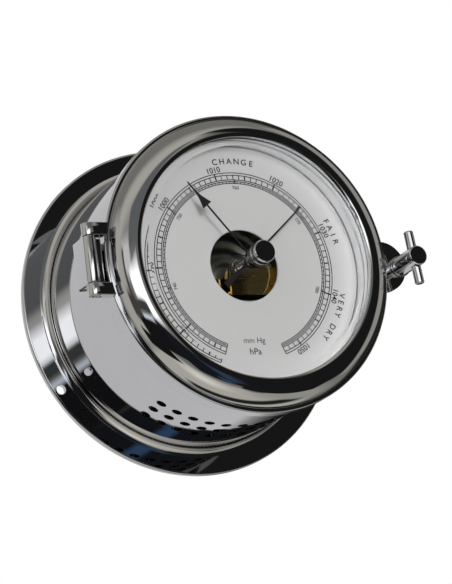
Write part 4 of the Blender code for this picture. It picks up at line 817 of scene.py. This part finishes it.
def build_back_screws():
    """Four slotted countersunk screws with their heads towards the bulkhead."""
    cone = BACK_SCREW_HEAD_RADIUS - BACK_SCREW_SHANK_RADIUS
    loop = [(0.0, 0.0), (BACK_SCREW_HEAD_RADIUS, 0.0), (BACK_SCREW_SHANK_RADIUS, cone),
            (BACK_SCREW_SHANK_RADIUS, BACK_SCREW_LENGTH), (0.0, BACK_SCREW_LENGTH)]
    screw = turned("slotted_screw", eased(loop, SCREW_EASE), STEEL, SCREW_STEPS)
    slot = block_shape(SCREW_SLOT_WIDTH, 2 * SCREW_SLOT_DEPTH, 3 * BACK_SCREW_HEAD_RADIUS)
    cut_away(screw, make_object("screw_slot", slot, STEEL))
    ring = grow("back_screws_dressed", COPY_RING, Count=BACK_SCREW_COUNT, First_Angle=BACK_SCREW_FIRST_ANGLE,
                Angle_Step=360.0 / BACK_SCREW_COUNT, Part=screw, Radius=BACK_SCREW_CIRCLE * MM,
                Forward=BACK_SCREW_FACE * MM, Finish=STEEL)
    bpy.data.objects.remove(screw)
    nodes = ["back_screw_%d" % number for number in range(1, BACK_SCREW_COUNT + 1)]
    fit(ring, "case", "steel", *nodes)


def tube_angles():
    """Angles of the tube's grid, fine across the vents."""
    half = VENT_COLUMNS * VENT_COLUMN_STEP / 2
    fine = VENT_COLUMNS * VENT_SIDE_STEPS
    angles = []
    for step in range(fine):
        angles.append(VENT_MIDDLE - half + 2 * half * step / fine)
    for step in range(TUBE_REST_STEPS):
        angles.append(VENT_MIDDLE + half + (360.0 - 2 * half) * step / TUBE_REST_STEPS)
    return angles


def tube_rows():
    """Forward places of the tube's grid, fine across the vents, with support rows at both ends."""
    start = VENT_FIRST_ROW - VENT_ROW_STEP / 2
    fine = VENT_ROWS * VENT_SIDE_STEPS
    rows = [TUBE_BACK, TUBE_BACK + TUBE_END_ROW, (TUBE_BACK + start) / 2]
    for step in range(fine + 1):
        rows.append(start + VENT_ROWS * VENT_ROW_STEP * step / fine)
    rows += [(rows[-1] + TUBE_FRONT) / 2, TUBE_FRONT - TUBE_END_ROW, TUBE_FRONT]
    return rows


def vent_cell(shape, grid, column, row, radius):
    """Faces of one grid cell round its vent. Returns the vent's rim."""
    side = VENT_SIDE_STEPS
    count = len(grid[0])
    border = [grid[row][(column + step) % count] for step in range(side)]
    border += [grid[row + step][(column + side) % count] for step in range(side)]
    border += [grid[row + side][(column + side - step) % count] for step in range(side)]
    border += [grid[row + side - step][column % count] for step in range(side)]
    middle_angle = VENT_MIDDLE - VENT_COLUMNS * VENT_COLUMN_STEP / 2
    middle_angle += VENT_COLUMN_STEP * (column / side + 0.5)
    middle_forward = (border[0].co.y + border[2 * side].co.y) / -2 / MM
    rim = []
    for index in range(4 * side):
        turn = math.radians(VENT_RIM_START + 360.0 * index / (4 * side))
        angle = middle_angle + math.degrees(VENT_RADIUS * math.cos(turn) / CASE_RADIUS)
        forward = middle_forward + VENT_RADIUS * math.sin(turn)
        rim.append(add_clock_vertex(shape, radius, angle, forward))
    bridge_rings(shape, border, rim)
    return rim


def build_tube():
    """The case tube as an even grid, with each vent in a cell of its own."""
    shape = bmesh.new()
    angles = tube_angles()
    rows = tube_rows()
    rims = []
    walls = []
    for radius in (CASE_RADIUS, CASE_BORE):
        grid = []
        for forward in rows:
            grid.append([add_clock_vertex(shape, radius, angle, forward) for angle in angles])
        walls.append(grid)
        vent_columns = VENT_COLUMNS * VENT_SIDE_STEPS
        vent_rows = range(TUBE_LEAD_ROWS, TUBE_LEAD_ROWS + VENT_ROWS * VENT_SIDE_STEPS)
        for row in range(len(rows) - 1):
            for column in range(len(angles)):
                if column < vent_columns and row in vent_rows:
                    continue
                following = (column + 1) % len(angles)
                shape.faces.new((grid[row][column], grid[row][following],
                                 grid[row + 1][following], grid[row + 1][column]))
        cells = []
        for row in range(VENT_ROWS):
            for column in range(VENT_COLUMNS):
                cells.append(vent_cell(shape, grid, column * VENT_SIDE_STEPS,
                                       TUBE_LEAD_ROWS + row * VENT_SIDE_STEPS, radius))
        rims.append(cells)
    for outer, inner in zip(*rims):
        bridge_rings(shape, outer, inner)
    bridge_rings(shape, walls[0][0], walls[1][0])
    bridge_rings(shape, walls[0][-1], walls[1][-1])
    loose = [vertex for vertex in shape.verts if not vertex.link_faces]
    bmesh.ops.delete(shape, geom=loose, context="VERTS")
    fit(make_object("tube_dressed", shape, CHROME), "case", "chrome", "case_tube")


def build_seat():
    loop = [(DIAL_LEDGE_BORE, SEAT_SPIGOT_BACK), (SEAT_SPIGOT_RADIUS, SEAT_SPIGOT_BACK),
            (SEAT_SPIGOT_RADIUS, SEAT_BACK), (CASE_RADIUS, SEAT_BACK), (CASE_RADIUS, DIAL_FRONT),
            (GASKET_GROOVE_OUTER, DIAL_FRONT), (GASKET_GROOVE_OUTER, GASKET_GROOVE_FLOOR),
            (GASKET_GROOVE_INNER, GASKET_GROOVE_FLOOR), (GASKET_GROOVE_INNER, DIAL_FRONT),
            (SEAT_BORE, DIAL_FRONT), (SEAT_BORE, DIAL_LEDGE), (DIAL_LEDGE_BORE, DIAL_LEDGE)]
    fit(turned("seat_dressed", eased(loop, SEAM_EASE), CHROME), "case", "chrome", "seat_ring")


# Dial

def build_dial():
    """The dial with its margin dished up towards the wall."""
    centre = (DISH_START, DIAL_FRONT + DISH_ROUND)
    sweep = curve(centre, (DISH_ROUND, DISH_ROUND), DISH_SLOPE - 90.0, -90.0, DISH_CURVE_STEPS)
    loop = [(DIAL_OPENING_RADIUS, DIAL_BACK), (DIAL_RADIUS, DIAL_BACK), (DIAL_RADIUS, DIAL_FRONT),
            (DISH_EDGE, DIAL_FRONT), (DISH_EDGE, sweep[0][1])] + sweep + [(DIAL_OPENING_RADIUS, DIAL_FRONT)]
    fit(turned("dial_dressed", eased(loop, LIP_EASE), DIAL_WHITE), "case", "silvered_dial", "dial_plate")


def ink_arc(shape, radius, width, start, end):
    """A printed arc as a thin closed strip, with a step for each degree."""
    steps = int(end - start)
    section = box(radius - width / 2, radius + width / 2, DIAL_FRONT, DIAL_FRONT + INK_THICKNESS)
    rings = []
    for step in range(steps + 1):
        angle = start + (end - start) * step / steps
        rings.append([add_clock_vertex(shape, reach, angle, forward) for reach, forward in section])
    for first, second in zip(rings, rings[1:]):
        bridge_rings(shape, first, second)
    shape.faces.new(rings[0])
    shape.faces.new(rings[-1])


def ink_text(shape, text, height, radius, angle, weight=INK_WEIGHT):
    """Printed characters set across a radius, with their tops outwards."""
    letters = bpy.data.curves.new("letters", "FONT")
    letters.body = text
    letters.size = height / CAPITAL_SHARE
    letters.extrude = INK_THICKNESS / 2
    letters.offset = weight
    letters.align_x = "CENTER"
    holder = show("letters", letters)
    graph = bpy.context.evaluated_depsgraph_get()
    mesh = bpy.data.meshes.new_from_object(holder.evaluated_get(graph))
    x, z = on_clock(1.0, angle)
    across = Vector((z, 0.0, -x))
    outward = Vector((x, 0.0, z))
    middle = outward * (radius - height / 2) + Vector((0.0, -DIAL_FRONT - INK_THICKNESS / 2, 0.0))
    turn = Matrix((across, outward, Vector((0.0, -1.0, 0.0)))).transposed().to_4x4()
    mesh.transform(Matrix.Scale(MM, 4) @ Matrix.Translation(middle) @ turn)
    shape.from_mesh(mesh)
    bpy.data.objects.remove(holder)
    bpy.data.curves.remove(letters)
    bpy.data.meshes.remove(mesh)


def ink_word(shape, word, height, radius, middle_angle, letter_step):
    """A word that follows the dial's edge, letter by letter."""
    for index, letter in enumerate(word):
        if letter == " ":
            continue
        angle = middle_angle + letter_step * (index - (len(word) - 1) / 2)
        ink_text(shape, letter, height, radius, angle)


def hpa_angle(pressure):
    return (pressure - HPA_AT_TOP) * DEGREES_PER_HPA


def build_print():
    """Arcs, numbers and words in one piece, and the ticks as rings of bars."""
    span = 2 * SCALE_HALF_SWEEP
    first = -SCALE_HALF_SWEEP
    shape = bmesh.new()
    for radius in SCALE_ARCS:
        ink_arc(shape, radius, ARC_WIDTH, first, SCALE_HALF_SWEEP)
    for pressure in HPA_NUMBERS:
        ink_text(shape, str(pressure), HPA_NUMBER_HEIGHT, HPA_NUMBER_RADIUS, hpa_angle(pressure))
    for pressure in MM_NUMBERS:
        angle = hpa_angle(pressure * HPA_PER_MM)
        ink_text(shape, str(pressure), MM_NUMBER_HEIGHT, MM_NUMBER_RADIUS, angle, MM_NUMBER_WEIGHT)
    for word, middle_angle, letter_step in SCALE_WORDS:
        ink_word(shape, word, WORD_HEIGHT, WORD_RADIUS, middle_angle, letter_step)
    for unit, height, radius, weight in UNIT_WORDS:
        ink_text(shape, unit, height, radius, 0.0, weight)
    fit(make_object("dial_print", shape, INK, GROWN_SHARP_ANGLE), "case", "black_enamel")

    rim, ladder_top, ladder_foot, mm_top, mm_foot = SCALE_ARCS
    tens = len(HPA_NUMBERS)
    ten_step = 10 * DEGREES_PER_HPA
    hpa_start = HPA_NUMBERS[0]
    mm_start = hpa_angle(MM_NUMBERS[0] * HPA_PER_MM)
    # Name, count, first angle, angle step, inner radius, outer radius and width
    rows = (
        ("hpa_ticks", int(span / DEGREES_PER_HPA) + 1, first, DEGREES_PER_HPA, ladder_foot, ladder_top,
         ARC_WIDTH),
        ("hpa_five_ticks", tens, hpa_angle(hpa_start - 5), ten_step, ladder_foot, ladder_top,
         FIVE_TICK_WIDTH),
        ("hpa_ten_ticks", tens, hpa_angle(hpa_start), ten_step, ladder_foot, rim, TEN_TICK_WIDTH),
        ("mm_ticks", MM_TICKS, first, span / (MM_TICKS - 1), mm_foot, mm_top, MM_TICK_WIDTH),
        ("mm_ten_ticks", len(MM_NUMBERS), mm_start, ten_step * HPA_PER_MM, mm_foot, ladder_foot,
         MM_TEN_TICK_WIDTH),
        ("scale_ends", 2, first, span, mm_foot, rim, ARC_WIDTH),
    )
    for name, count, first_angle, step, inner, outer, width in rows:
        ticks = grow(name, BAR_RING, Count=count, First_Angle=first_angle, Angle_Step=step,
                     Inner_Radius=inner * MM, Outer_Radius=outer * MM, Width=width * MM, Back=DIAL_FRONT * MM,
                     Front=(DIAL_FRONT + INK_THICKNESS) * MM, Finish=INK)
        fit(ticks, "case", "black_enamel")


# Bezel and glass

def build_bezel():
    round_size = (BEZEL_ROUND_RADIUS - BEZEL_CREST_RADIUS, BEZEL_CREST - BEZEL_RIM_FRONT)
    lip_size = (LIP_RADIUS - BEZEL_CREST_RADIUS, BEZEL_CREST - LIP_FRONT)
    rim_centre = (BEZEL_RADIUS - BEZEL_RIM_ROUND, BEZEL_RIM_FRONT - BEZEL_RIM_ROUND)
    loop = [(BEZEL_RADIUS, BEZEL_BACK)]
    loop += curve(rim_centre, (BEZEL_RIM_ROUND, BEZEL_RIM_ROUND), 0.0, 90.0, RIM_CURVE_STEPS)
    loop += curve((BEZEL_CREST_RADIUS, BEZEL_RIM_FRONT), round_size, 0.0, 90.0, BEZEL_CURVE_STEPS)
    loop += curve((BEZEL_CREST_RADIUS, LIP_FRONT), lip_size, 90.0, 0.0, LIP_CURVE_STEPS)[1:]
    loop += [(LIP_EDGE_RADIUS - LIP_EDGE_WIDTH, LIP_EDGE), (LIP_EDGE_RADIUS, LIP_EDGE),
             (LIP_EDGE_RADIUS, LIP_BACK), (BEZEL_BORE, LIP_BACK), (BEZEL_BORE, BEZEL_BACK)]
    fit(turned("bezel_dressed", eased(loop, LIP_EASE), CHROME), "bezel", "chrome", "bezel_ring")

    glass = [(GLASS_HOLE_RADIUS, GLASS_BACK), (GLASS_RADIUS, GLASS_BACK), (GLASS_RADIUS, GLASS_LAND),
             (GLASS_LAND_RADIUS, GLASS_LAND), (GLASS_BEVEL_RADIUS, GLASS_FRONT),
             (GLASS_HOLE_RADIUS, GLASS_FRONT)]
    fit(turned("glass_dressed", eased(glass, GLASS_EASE), GLASS), "bezel", "glass", "bezel_glass")

    section = eased(box(LIP_RADIUS, GLASS_RADIUS, RETAINER_BACK, RETAINER_FRONT), GLASS_EASE)
    fit(turned("retainer_dressed", section, SATIN_CHROME), "bezel", "chrome", "retaining_ring")


# Knob, hands, closure, capsule and small parts

def build_knob():
    """The knob with a ridged foot and a plain crown."""
    knurl_radius = KNOB_RADIUS - KNURL_DEPTH
    crown_back = KNOB_KNURL_FRONT + KNOB_SHOULDER
    loop = [(0.0, KNOB_BLIND), (KNOB_BORE, KNOB_BLIND), (KNOB_BORE, KNOB_BACK),
            (KNOB_RADIUS - KNOB_CHAMFER, KNOB_BACK), (knurl_radius, KNOB_BACK + KNURL_BACK_CHAMFER),
            (knurl_radius, KNOB_KNURL_FRONT - KNURL_FRONT_CHAMFER), (KNOB_NECK_RADIUS, KNOB_KNURL_FRONT),
            (KNOB_NECK_RADIUS, KNOB_KNURL_FRONT + KNOB_GROOVE), (KNOB_RADIUS - KNOB_TAPER, crown_back),
            (KNOB_RADIUS, KNOB_FRONT - KNOB_CROWN), (KNOB_RADIUS - KNOB_CHAMFER, KNOB_FRONT),
            (0.0, KNOB_FRONT)]
    knob = turned("knob_dressed", eased(loop, SMALL_EASE), CHROME, SMALL_STEPS)
    fit(knob, "set_knob", "chrome", "set_knob")
    ridges = grow("knob_ridges", BAR_RING, Count=KNOB_RIDGES, First_Angle=0.0, Angle_Step=360.0 / KNOB_RIDGES,
                  Inner_Radius=(KNOB_RADIUS - RIDGE_HEIGHT) * MM, Outer_Radius=KNOB_RADIUS * MM,
                  Width=RIDGE_WIDTH * MM, Back=RIDGE_BACK * MM, Front=RIDGE_FRONT * MM, Finish=CHROME)
    fit(ridges, "set_knob", "chrome")


def add_blade(shape, corners, angle, back, front):
    """Adds a flat convex plate. Its corners are (across, along) a hand that points at a clock angle."""
    rings = []
    for forward in (back, front):
        ring = []
        for across, along in corners:
            side_x, side_z = on_clock(across, angle + 90.0)
            x, z = on_clock(along, angle)
            ring.append(add_vertex(shape, x + side_x, forward, z + side_z))
        shape.faces.new(ring)
        rings.append(ring)
    bridge_rings(shape, rings[0], rings[1])


def add_hub(shape, bore, radius, hub_back, hub_front, ease):
    """Adds a hand's hub. Returns the back and front of the hand's blade."""
    turn_section(shape, eased(box(bore, radius, hub_back, hub_front), ease), SMALL_STEPS)
    back = (hub_back + hub_front - HAND_THICKNESS) / 2
    return back, back + HAND_THICKNESS


def add_taper(shape, start_width, start, end_width, end, angle, faces):
    """Adds a straight length of a hand that narrows or widens along it."""
    near = start_width / 2
    far = end_width / 2
    add_blade(shape, [(-near, start), (near, start), (far, end), (-far, end)], angle, *faces)


def build_hands():
    """The set hand with its solid arrowhead, and the pointer with its counterweight tail."""
    shape = bmesh.new()
    faces = add_hub(shape, SET_HUB_BORE, SET_HUB_RADIUS, SET_HUB_BACK, SET_HUB_FRONT, HUB_EASE)
    lengths = [(SET_STEM_WIDTH, SET_HUB_RADIUS - SET_HUB_OVERLAP, SET_STEM_WIDTH, ARROW_START),
               (SET_STEM_WIDTH, ARROW_END - ARROW_OVERLAP, SET_TIP_WIDTH, SET_HAND_LENGTH)]
    sides = []
    for step in range(ARROW_STEPS + 1):
        share = step / ARROW_STEPS
        width = SET_STEM_WIDTH + (ARROW_WIDTH - SET_STEM_WIDTH) * (1.0 - share) ** ARROW_HOLLOW
        sides.append((width, ARROW_START + (ARROW_END - ARROW_START) * share))
    for side, following in zip(sides, sides[1:]):
        lengths.append(side + following)
    for length in lengths:
        add_taper(shape, *length, SET_HAND_ANGLE, faces)
    fit(make_object("set_hand_dressed", shape, ENAMEL), "set_knob", "black_enamel", "set_hand")

    shape = bmesh.new()
    faces = add_hub(shape, 0.0, POINTER_HUB_RADIUS, POINTER_HUB_BACK, POINTER_HUB_FRONT, SMALL_EASE)
    add_taper(shape, POINTER_WIDTH, POINTER_ROOT, POINTER_TIP_WIDTH, POINTER_LENGTH, POINTER_ANGLE, faces)
    add_taper(shape, POINTER_TAIL_WIDTH, -POINTER_TAIL, POINTER_WIDTH, -POINTER_ROOT, POINTER_ANGLE, faces)
    fit(make_object("pointer_dressed", shape, ENAMEL), "pointer", "black_enamel", "pointer")


def rod_end(radius, chamfer, end, inwards):
    """The last points of a chamfered rod's section, from its side to its axis."""
    return [(radius, end + inwards * chamfer), (radius - chamfer, end), (0.0, end)]


def build_closure():
    """The T-handle screw, its washer and its bar."""
    centre = (CLOSURE_X, 0.0)
    loop = rod_end(STUD_RADIUS, STUD_CHAMFER, STUD_BACK, 1)[::-1]
    loop += [(STUD_RADIUS, HANDLE_BACK)] + rod_end(HANDLE_RADIUS, HANDLE_CHAMFER, HANDLE_BACK, 1)[1::-1]
    loop += rod_end(HANDLE_RADIUS, HANDLE_CHAMFER, HANDLE_FRONT, -1)
    handle = turned("handle_dressed", eased(loop, SMALL_EASE), CHROME, SMALL_STEPS, centre)
    fit(handle, "t_screw", "chrome", "t_handle")
    section = eased(box(WASHER_BORE, WASHER_RADIUS, WASHER_BACK, WASHER_FRONT), BROAD_EASE)
    washer = turned("washer_dressed", section, CHROME, SMALL_STEPS, centre)
    fit(washer, "closure_washer", "chrome", "closure_washer")
    half = T_BAR_LENGTH / 2
    loop = rod_end(T_BAR_RADIUS, T_BAR_CHAMFER, -half, 1)[::-1]
    loop += rod_end(T_BAR_RADIUS, T_BAR_CHAMFER, half, -1)
    bar = turned("t_bar_dressed", eased(loop, BROAD_EASE), CHROME, BAR_STEPS)
    lean = Matrix.Rotation(math.radians(T_BAR_ANGLE), 4, "Y")
    upright = Matrix.Rotation(math.radians(-90.0), 4, "X")
    bar.data.transform(Matrix.Translation((CLOSURE_X * MM, -T_BAR_FORWARD * MM, 0.0)) @ lean @ upright)
    fit(bar, "t_screw", "chrome", "t_bar")


def build_capsule():
    """The capsule with round waves, a well for the stud and a thin rim."""
    wave_end = CAPSULE_RADIUS - CAPSULE_RIM
    loop = [(0.0, CAPSULE_WELL), (CAPSULE_WELL_RADIUS, CAPSULE_WELL), (CAPSULE_WELL_RADIUS, CAPSULE_FRONT)]
    steps = CAPSULE_WAVES * CAPSULE_WAVE_STEPS
    for step in range(steps + 1):
        radius = CAPSULE_BOSS_RADIUS + (wave_end - CAPSULE_BOSS_RADIUS) * step / steps
        sink = CAPSULE_WAVE_HEIGHT * (1.0 - math.cos(2 * math.pi * CAPSULE_WAVES * step / steps)) / 2
        loop.append((radius, CAPSULE_FRONT - sink))
    middle = (CAPSULE_BACK + CAPSULE_FRONT) / 2
    loop += [(CAPSULE_RADIUS, middle + CAPSULE_RIM / 2), (CAPSULE_RADIUS, middle - CAPSULE_RIM / 2)]
    loop += [(wave_end, CAPSULE_BACK + CAPSULE_BACK_BEVEL), (wave_end - CAPSULE_BACK_BEVEL, CAPSULE_BACK)]
    loop.append((0.0, CAPSULE_BACK))
    capsule = turned("capsule_dressed", eased(loop, BROAD_EASE), CAPSULE_METAL, CAPSULE_STEPS)
    fit(capsule, "case", "capsule_metal", "aneroid_capsule")


def build_bridge_step():
    """A wedge that sets back the lower half of the front bridge's face."""
    shape = bmesh.new()
    ends = []
    for x in (BRIDGE_STEP_LEFT, BRIDGE_STEP_RIGHT):
        ring = [add_vertex(shape, x, forward, z) for forward, z in BRIDGE_STEP]
        shape.faces.new(ring)
        ends.append(ring)
    bridge_rings(shape, ends[0], ends[1])
    return make_object("bridge_step", shape, BRASS)


def build_hinge_web():
    """A web on the hinge block that closes the space between its barrel and the bezel."""
    shape = block_shape(HINGE_WEB_RIGHT - HINGE_WEB_LEFT, HINGE_WEB_FRONT - HINGE_WEB_BACK, HINGE_WEB_LENGTH,
                        (HINGE_WEB_LEFT + HINGE_WEB_RIGHT) / 2, (HINGE_WEB_BACK + HINGE_WEB_FRONT) / 2)
    bmesh.ops.bevel(shape, geom=shape.edges[:], offset=WEB_EASE * MM, segments=BEVEL_STEPS, profile=0.5,
                    affect="EDGES")
    fit(make_object("hinge_web", shape, CHROME, CHROME_SHARP_ANGLE), "case", "chrome")


def build_small_parts():
    """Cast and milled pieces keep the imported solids' shape, with rounded edges and some trimmed back."""
    lug_space = box(0.0, LUG_END_RADIUS, BEZEL_BACK, KNOB_FRONT)
    tab_edge = box(TAB_RADIUS, 2 * TAB_RADIUS, TUBE_FRONT, HANDLE_BACK)
    # Piece, body, rounding, section that is cut away and the x of its axis
    rows = (
        ("hinge_block", "case", BLOCK_EASE, None, 0.0),
        ("hinge_lug_upper", "bezel", LUG_EASE, lug_space, 0.0),
        ("hinge_lug_lower", "bezel", LUG_EASE, lug_space, 0.0),
        ("closure_lug", "case", LUG_EASE, None, 0.0),
        ("closure_tab", "bezel", LUG_EASE, tab_edge, TAB_CENTRE_X),
    )
    for node, body, size, trim, trim_x in rows:
        cutter = turned(node + "_trim", trim, CHROME, ROUND_STEPS, (trim_x, 0.0)) if trim else None
        fit(eased_copy(node, CHROME, size, CHROME_SHARP_ANGLE, cutter), body, "chrome", node)
    front = eased_copy("front_bridge", BRASS, FRONT_BRIDGE_EASE, BRASS_SHARP_ANGLE, build_bridge_step())
    fit(front, "case", "brass", "front_bridge")
    rear = eased_copy("rear_bridge", BRASS, REAR_BRIDGE_EASE, BRASS_SHARP_ANGLE)
    fit(rear, "case", "brass", "rear_bridge")


# Stage, light and camera

FLOOR_DROP = 1.2
FLOOR_HALF = 1.3
CAMERA_PLACE = (-0.62805, -1.30498, -0.39156)
CAMERA_RIGHT = (0.90104, -0.41564, -0.12395)
CAMERA_UP = (-0.00378, -0.29330, 0.95601)
CAMERA_FORWARD = (0.43371, 0.86094, 0.26584)
CAMERA_LENS = 173.27
CAMERA_SENSOR = 36.0
LAMP_DISTANCE = 1.5
# Name, azimuth, elevation, size in metres and energy
LAMPS = (("key", -14.0, 4.5, 0.20, 9.4), ("fill", -20.0, 0.0, 1.8, 7.6))


def heading(azimuth, elevation):
    """A direction from the object: azimuth 0 is towards the reader and 90 to the right."""
    side = math.radians(azimuth)
    rise = math.radians(elevation)
    return Vector((math.sin(side) * math.cos(rise), -math.cos(side) * math.cos(rise), math.sin(rise)))


def build_card_group():
    """How far a ray meets a flat card that faces the object: 1 on the card, 0 off it."""
    group, entry, leave = new_group(
        "Studio Card",
        (("Ray", VECTOR, (0.0, 0.0, 0.0)), ("Facing", VECTOR, (0.0, -1.0, 0.0)),
         ("Across", VECTOR, (1.0, 0.0, 0.0)), ("Upward", VECTOR, (0.0, 0.0, 1.0)),
         ("Half Width", FLOAT, 0.5), ("Half Height", FLOAT, 0.5), ("Edge", FLOAT, 0.1)),
        (("Mask", FLOAT),))
    reach = []
    for name in ("Facing", "Across", "Upward"):
        pair = {0: entry["Ray"], 1: entry[name]}
        dot = add_node(group, "ShaderNodeVectorMath", pair, operation="DOT_PRODUCT")
        reach.append(dot.outputs["Value"])
    mask = math_node(group, "GREATER_THAN", reach[0], CARD_HORIZON)
    for along, size in ((reach[1], "Half Width"), (reach[2], "Half Height")):
        share = math_node(group, "ABSOLUTE", math_node(group, "DIVIDE", along, reach[0]))
        inside = math_node(group, "SUBTRACT", entry[size], share)
        soft = math_node(group, "DIVIDE", inside, entry["Edge"])
        mask = math_node(group, "MULTIPLY", mask, math_node(group, "ADD", soft, 0.5, True))
    group.links.new(mask, leave["Mask"])
    return group


# Azimuth, elevation, roll, half width and half height as tangents, soft edge and colour, by name.
# A later card covers an earlier one.
STUDIO_CARDS = {
    "wall_behind": (180.0, 0.0, 0.0, 0.80, 0.80, 0.20, (0.62, 0.62, 0.635)),
    "left_wall": (-92.0, 2.0, 0.0, 0.60, 0.80, 0.40, (0.48, 0.47, 0.43)),
    "ceiling_glow": (-20.0, 49.0, 0.0, 0.95, 0.30, 0.40, (0.52, 0.50, 0.45)),
    "table": (0.0, -90.0, 0.0, 1.15, 1.15, 0.30, (0.54, 0.52, 0.465)),
    "table_light": (-26.0, -58.0, 0.0, 0.20, 0.14, 0.40, (1.05, 1.02, 0.94)),
    "table_right": (75.0, -50.0, 0.0, 0.60, 0.25, 0.30, (0.38, 0.37, 0.33)),
    "table_shade": (25.0, -38.0, 0.0, 0.08, 0.12, 0.10, (0.14, 0.17, 0.19)),
    "dark_doorway": (125.0, 20.0, 0.0, 0.62, 0.80, 0.25, (0.020, 0.020, 0.018)),
    "pale_post": (79.0, 14.0, 0.0, 0.28, 0.85, 0.12, (0.36, 0.35, 0.32)),
    "wall_above_window": (-42.0, 15.0, 0.0, 0.35, 0.16, 0.14, (0.70, 0.69, 0.67)),
    "sky_panel": (-1.0, 27.5, -3.0, 0.37, 0.165, 0.07, (0.140, 0.145, 0.150)),
    "dark_room": (41.5, -9.0, 0.0, 0.43, 0.62, 0.03, (0.012, 0.012, 0.012)),
    "dark_room_top": (43.0, 26.0, 0.0, 0.27, 0.33, 0.08, (0.012, 0.012, 0.012)),
    "dark_room_foot": (61.0, -17.0, 25.0, 0.22, 0.27, 0.08, (0.012, 0.012, 0.012)),
    "window": (-15.0, 7.0, 9.0, 0.45, 0.105, 0.09, (1.75, 1.77, 1.80)),
    "window_foot": (-6.0, -0.5, 22.0, 0.17, 0.055, 0.05, (1.65, 1.68, 1.72)),
    "standing_screen": (-58.0, 6.0, 0.0, 0.075, 0.26, 0.07, (0.07, 0.06, 0.055)),
    "screen_foot": (-63.0, -12.0, 0.0, 0.27, 0.16, 0.12, (0.075, 0.065, 0.06)),
    "sill": (-30.0, -4.9, 14.0, 0.40, 0.045, 0.03, (0.060, 0.066, 0.070)),
    "table_edge": (-30.0, -22.5, 16.0, 0.70, 0.18, 0.04, (0.010, 0.010, 0.011)),
    "table_edge_left": (-66.0, -38.5, -10.0, 0.45, 0.13, 0.04, (0.010, 0.010, 0.010)),
    "shade_below_window": (8.0, -14.0, 19.0, 0.36, 0.30, 0.06, (0.011, 0.012, 0.015)),
    "light_streak": (-31.0, -11.0, 16.0, 0.27, 0.022, 0.035, (0.75, 0.82, 0.90)),
    "blue_pane": (11.0, -24.5, 0.0, 0.05, 0.05, 0.04, (0.04, 0.09, 0.18)),
    "blue_streak": (16.0, -9.0, -6.0, 0.05, 0.18, 0.06, (0.035, 0.06, 0.10)),
    "dark_below": (150.0, -68.0, 0.0, 0.60, 0.22, 0.15, (0.020, 0.020, 0.018)),
}
STUDIO_BASE = (0.22, 0.215, 0.195)
CARD_HORIZON = 0.02
WHITE = (1.0, 1.0, 1.0, 1.0)


def build_world():
    """White behind the object for the camera, and a studio of soft cards for light and reflections."""
    world = bpy.data.worlds.new("studio")
    bpy.context.scene.world = world
    world.use_nodes = True
    tree = world.node_tree
    ray = tree.nodes.new("ShaderNodeTexCoord").outputs["Generated"]
    card_group = build_card_group()
    colour = STUDIO_BASE + (1.0,)
    for azimuth, elevation, roll, half_width, half_height, edge, tint in STUDIO_CARDS.values():
        facing = heading(azimuth, elevation)
        upward = heading(azimuth, elevation + 90.0)
        upward.rotate(Matrix.Rotation(math.radians(roll), 3, facing))
        card = place_group(tree, card_group, Ray=ray, Facing=facing, Upward=upward,
                           Across=facing.cross(upward), Half_Width=half_width, Half_Height=half_height,
                           Edge=edge)
        colour = mix_colours(tree, card["Mask"], colour, tint + (1.0,))
    studio = tree.nodes["Background"]
    tree.links.new(colour, studio.inputs["Color"])
    white = add_node(tree, "ShaderNodeBackground", {"Color": WHITE})
    path = tree.nodes.new("ShaderNodeLightPath").outputs
    bounced = math_node(tree, "ADD", path["Glossy Depth"], path["Diffuse Depth"], True)
    through_glass = math_node(tree, "SUBTRACT", path["Is Transmission Ray"], bounced, True)
    plain = math_node(tree, "MAXIMUM", path["Is Camera Ray"], through_glass)
    mix_shaders(tree, plain, studio, white, tree.nodes["World Output"])


def add_lamp(name, azimuth, elevation, size, energy):
    """A round soft lamp that faces the object. Metal shows the studio's cards, not the lamp."""
    lamp = bpy.data.lights.new(name, "AREA")
    lamp.shape = "DISK"
    lamp.size = size
    lamp.energy = energy
    holder = show(name, lamp)
    towards = heading(azimuth, elevation)
    holder.location = towards * LAMP_DISTANCE
    holder.rotation_euler = towards.to_track_quat("Z", "Y").to_euler()
    holder.visible_glossy = False


def build_stage():
    shape = bmesh.new()
    corners = ((-1, -1), (1, -1), (1, 1), (-1, 1))
    shape.faces.new([shape.verts.new((x * FLOOR_HALF, y * FLOOR_HALF, -FLOOR_DROP)) for x, y in corners])
    pale = painted_finish("pale_floor", (0.80, 0.79, 0.77), (0.77, 0.76, 0.74), 0.7, 0.1, 60.0, 0.02)
    floor = make_object("floor", shape, pale)
    floor.visible_glossy = False
    for lamp in LAMPS:
        add_lamp(*lamp)


def build_camera():
    lens = bpy.data.cameras.new("camera")
    lens.lens = CAMERA_LENS
    lens.sensor_fit = "VERTICAL"
    lens.sensor_height = CAMERA_SENSOR
    camera = show("camera", lens)
    back = -Vector(CAMERA_FORWARD)
    turn = Matrix((Vector(CAMERA_RIGHT), Vector(CAMERA_UP), back)).transposed().to_4x4()
    camera.matrix_world = Matrix.Translation(CAMERA_PLACE) @ turn
    bpy.context.scene.camera = camera


bpy.context.scene.view_settings.view_transform = "Standard"
build_camera()
finish_packed_solids()
build_flange()
build_back_screws()
build_tube()
build_seat()
build_dial()
build_print()
build_bezel()
build_knob()
build_hands()
build_closure()
build_capsule()
build_small_parts()
build_hinge_web()
build_world()
build_stage()
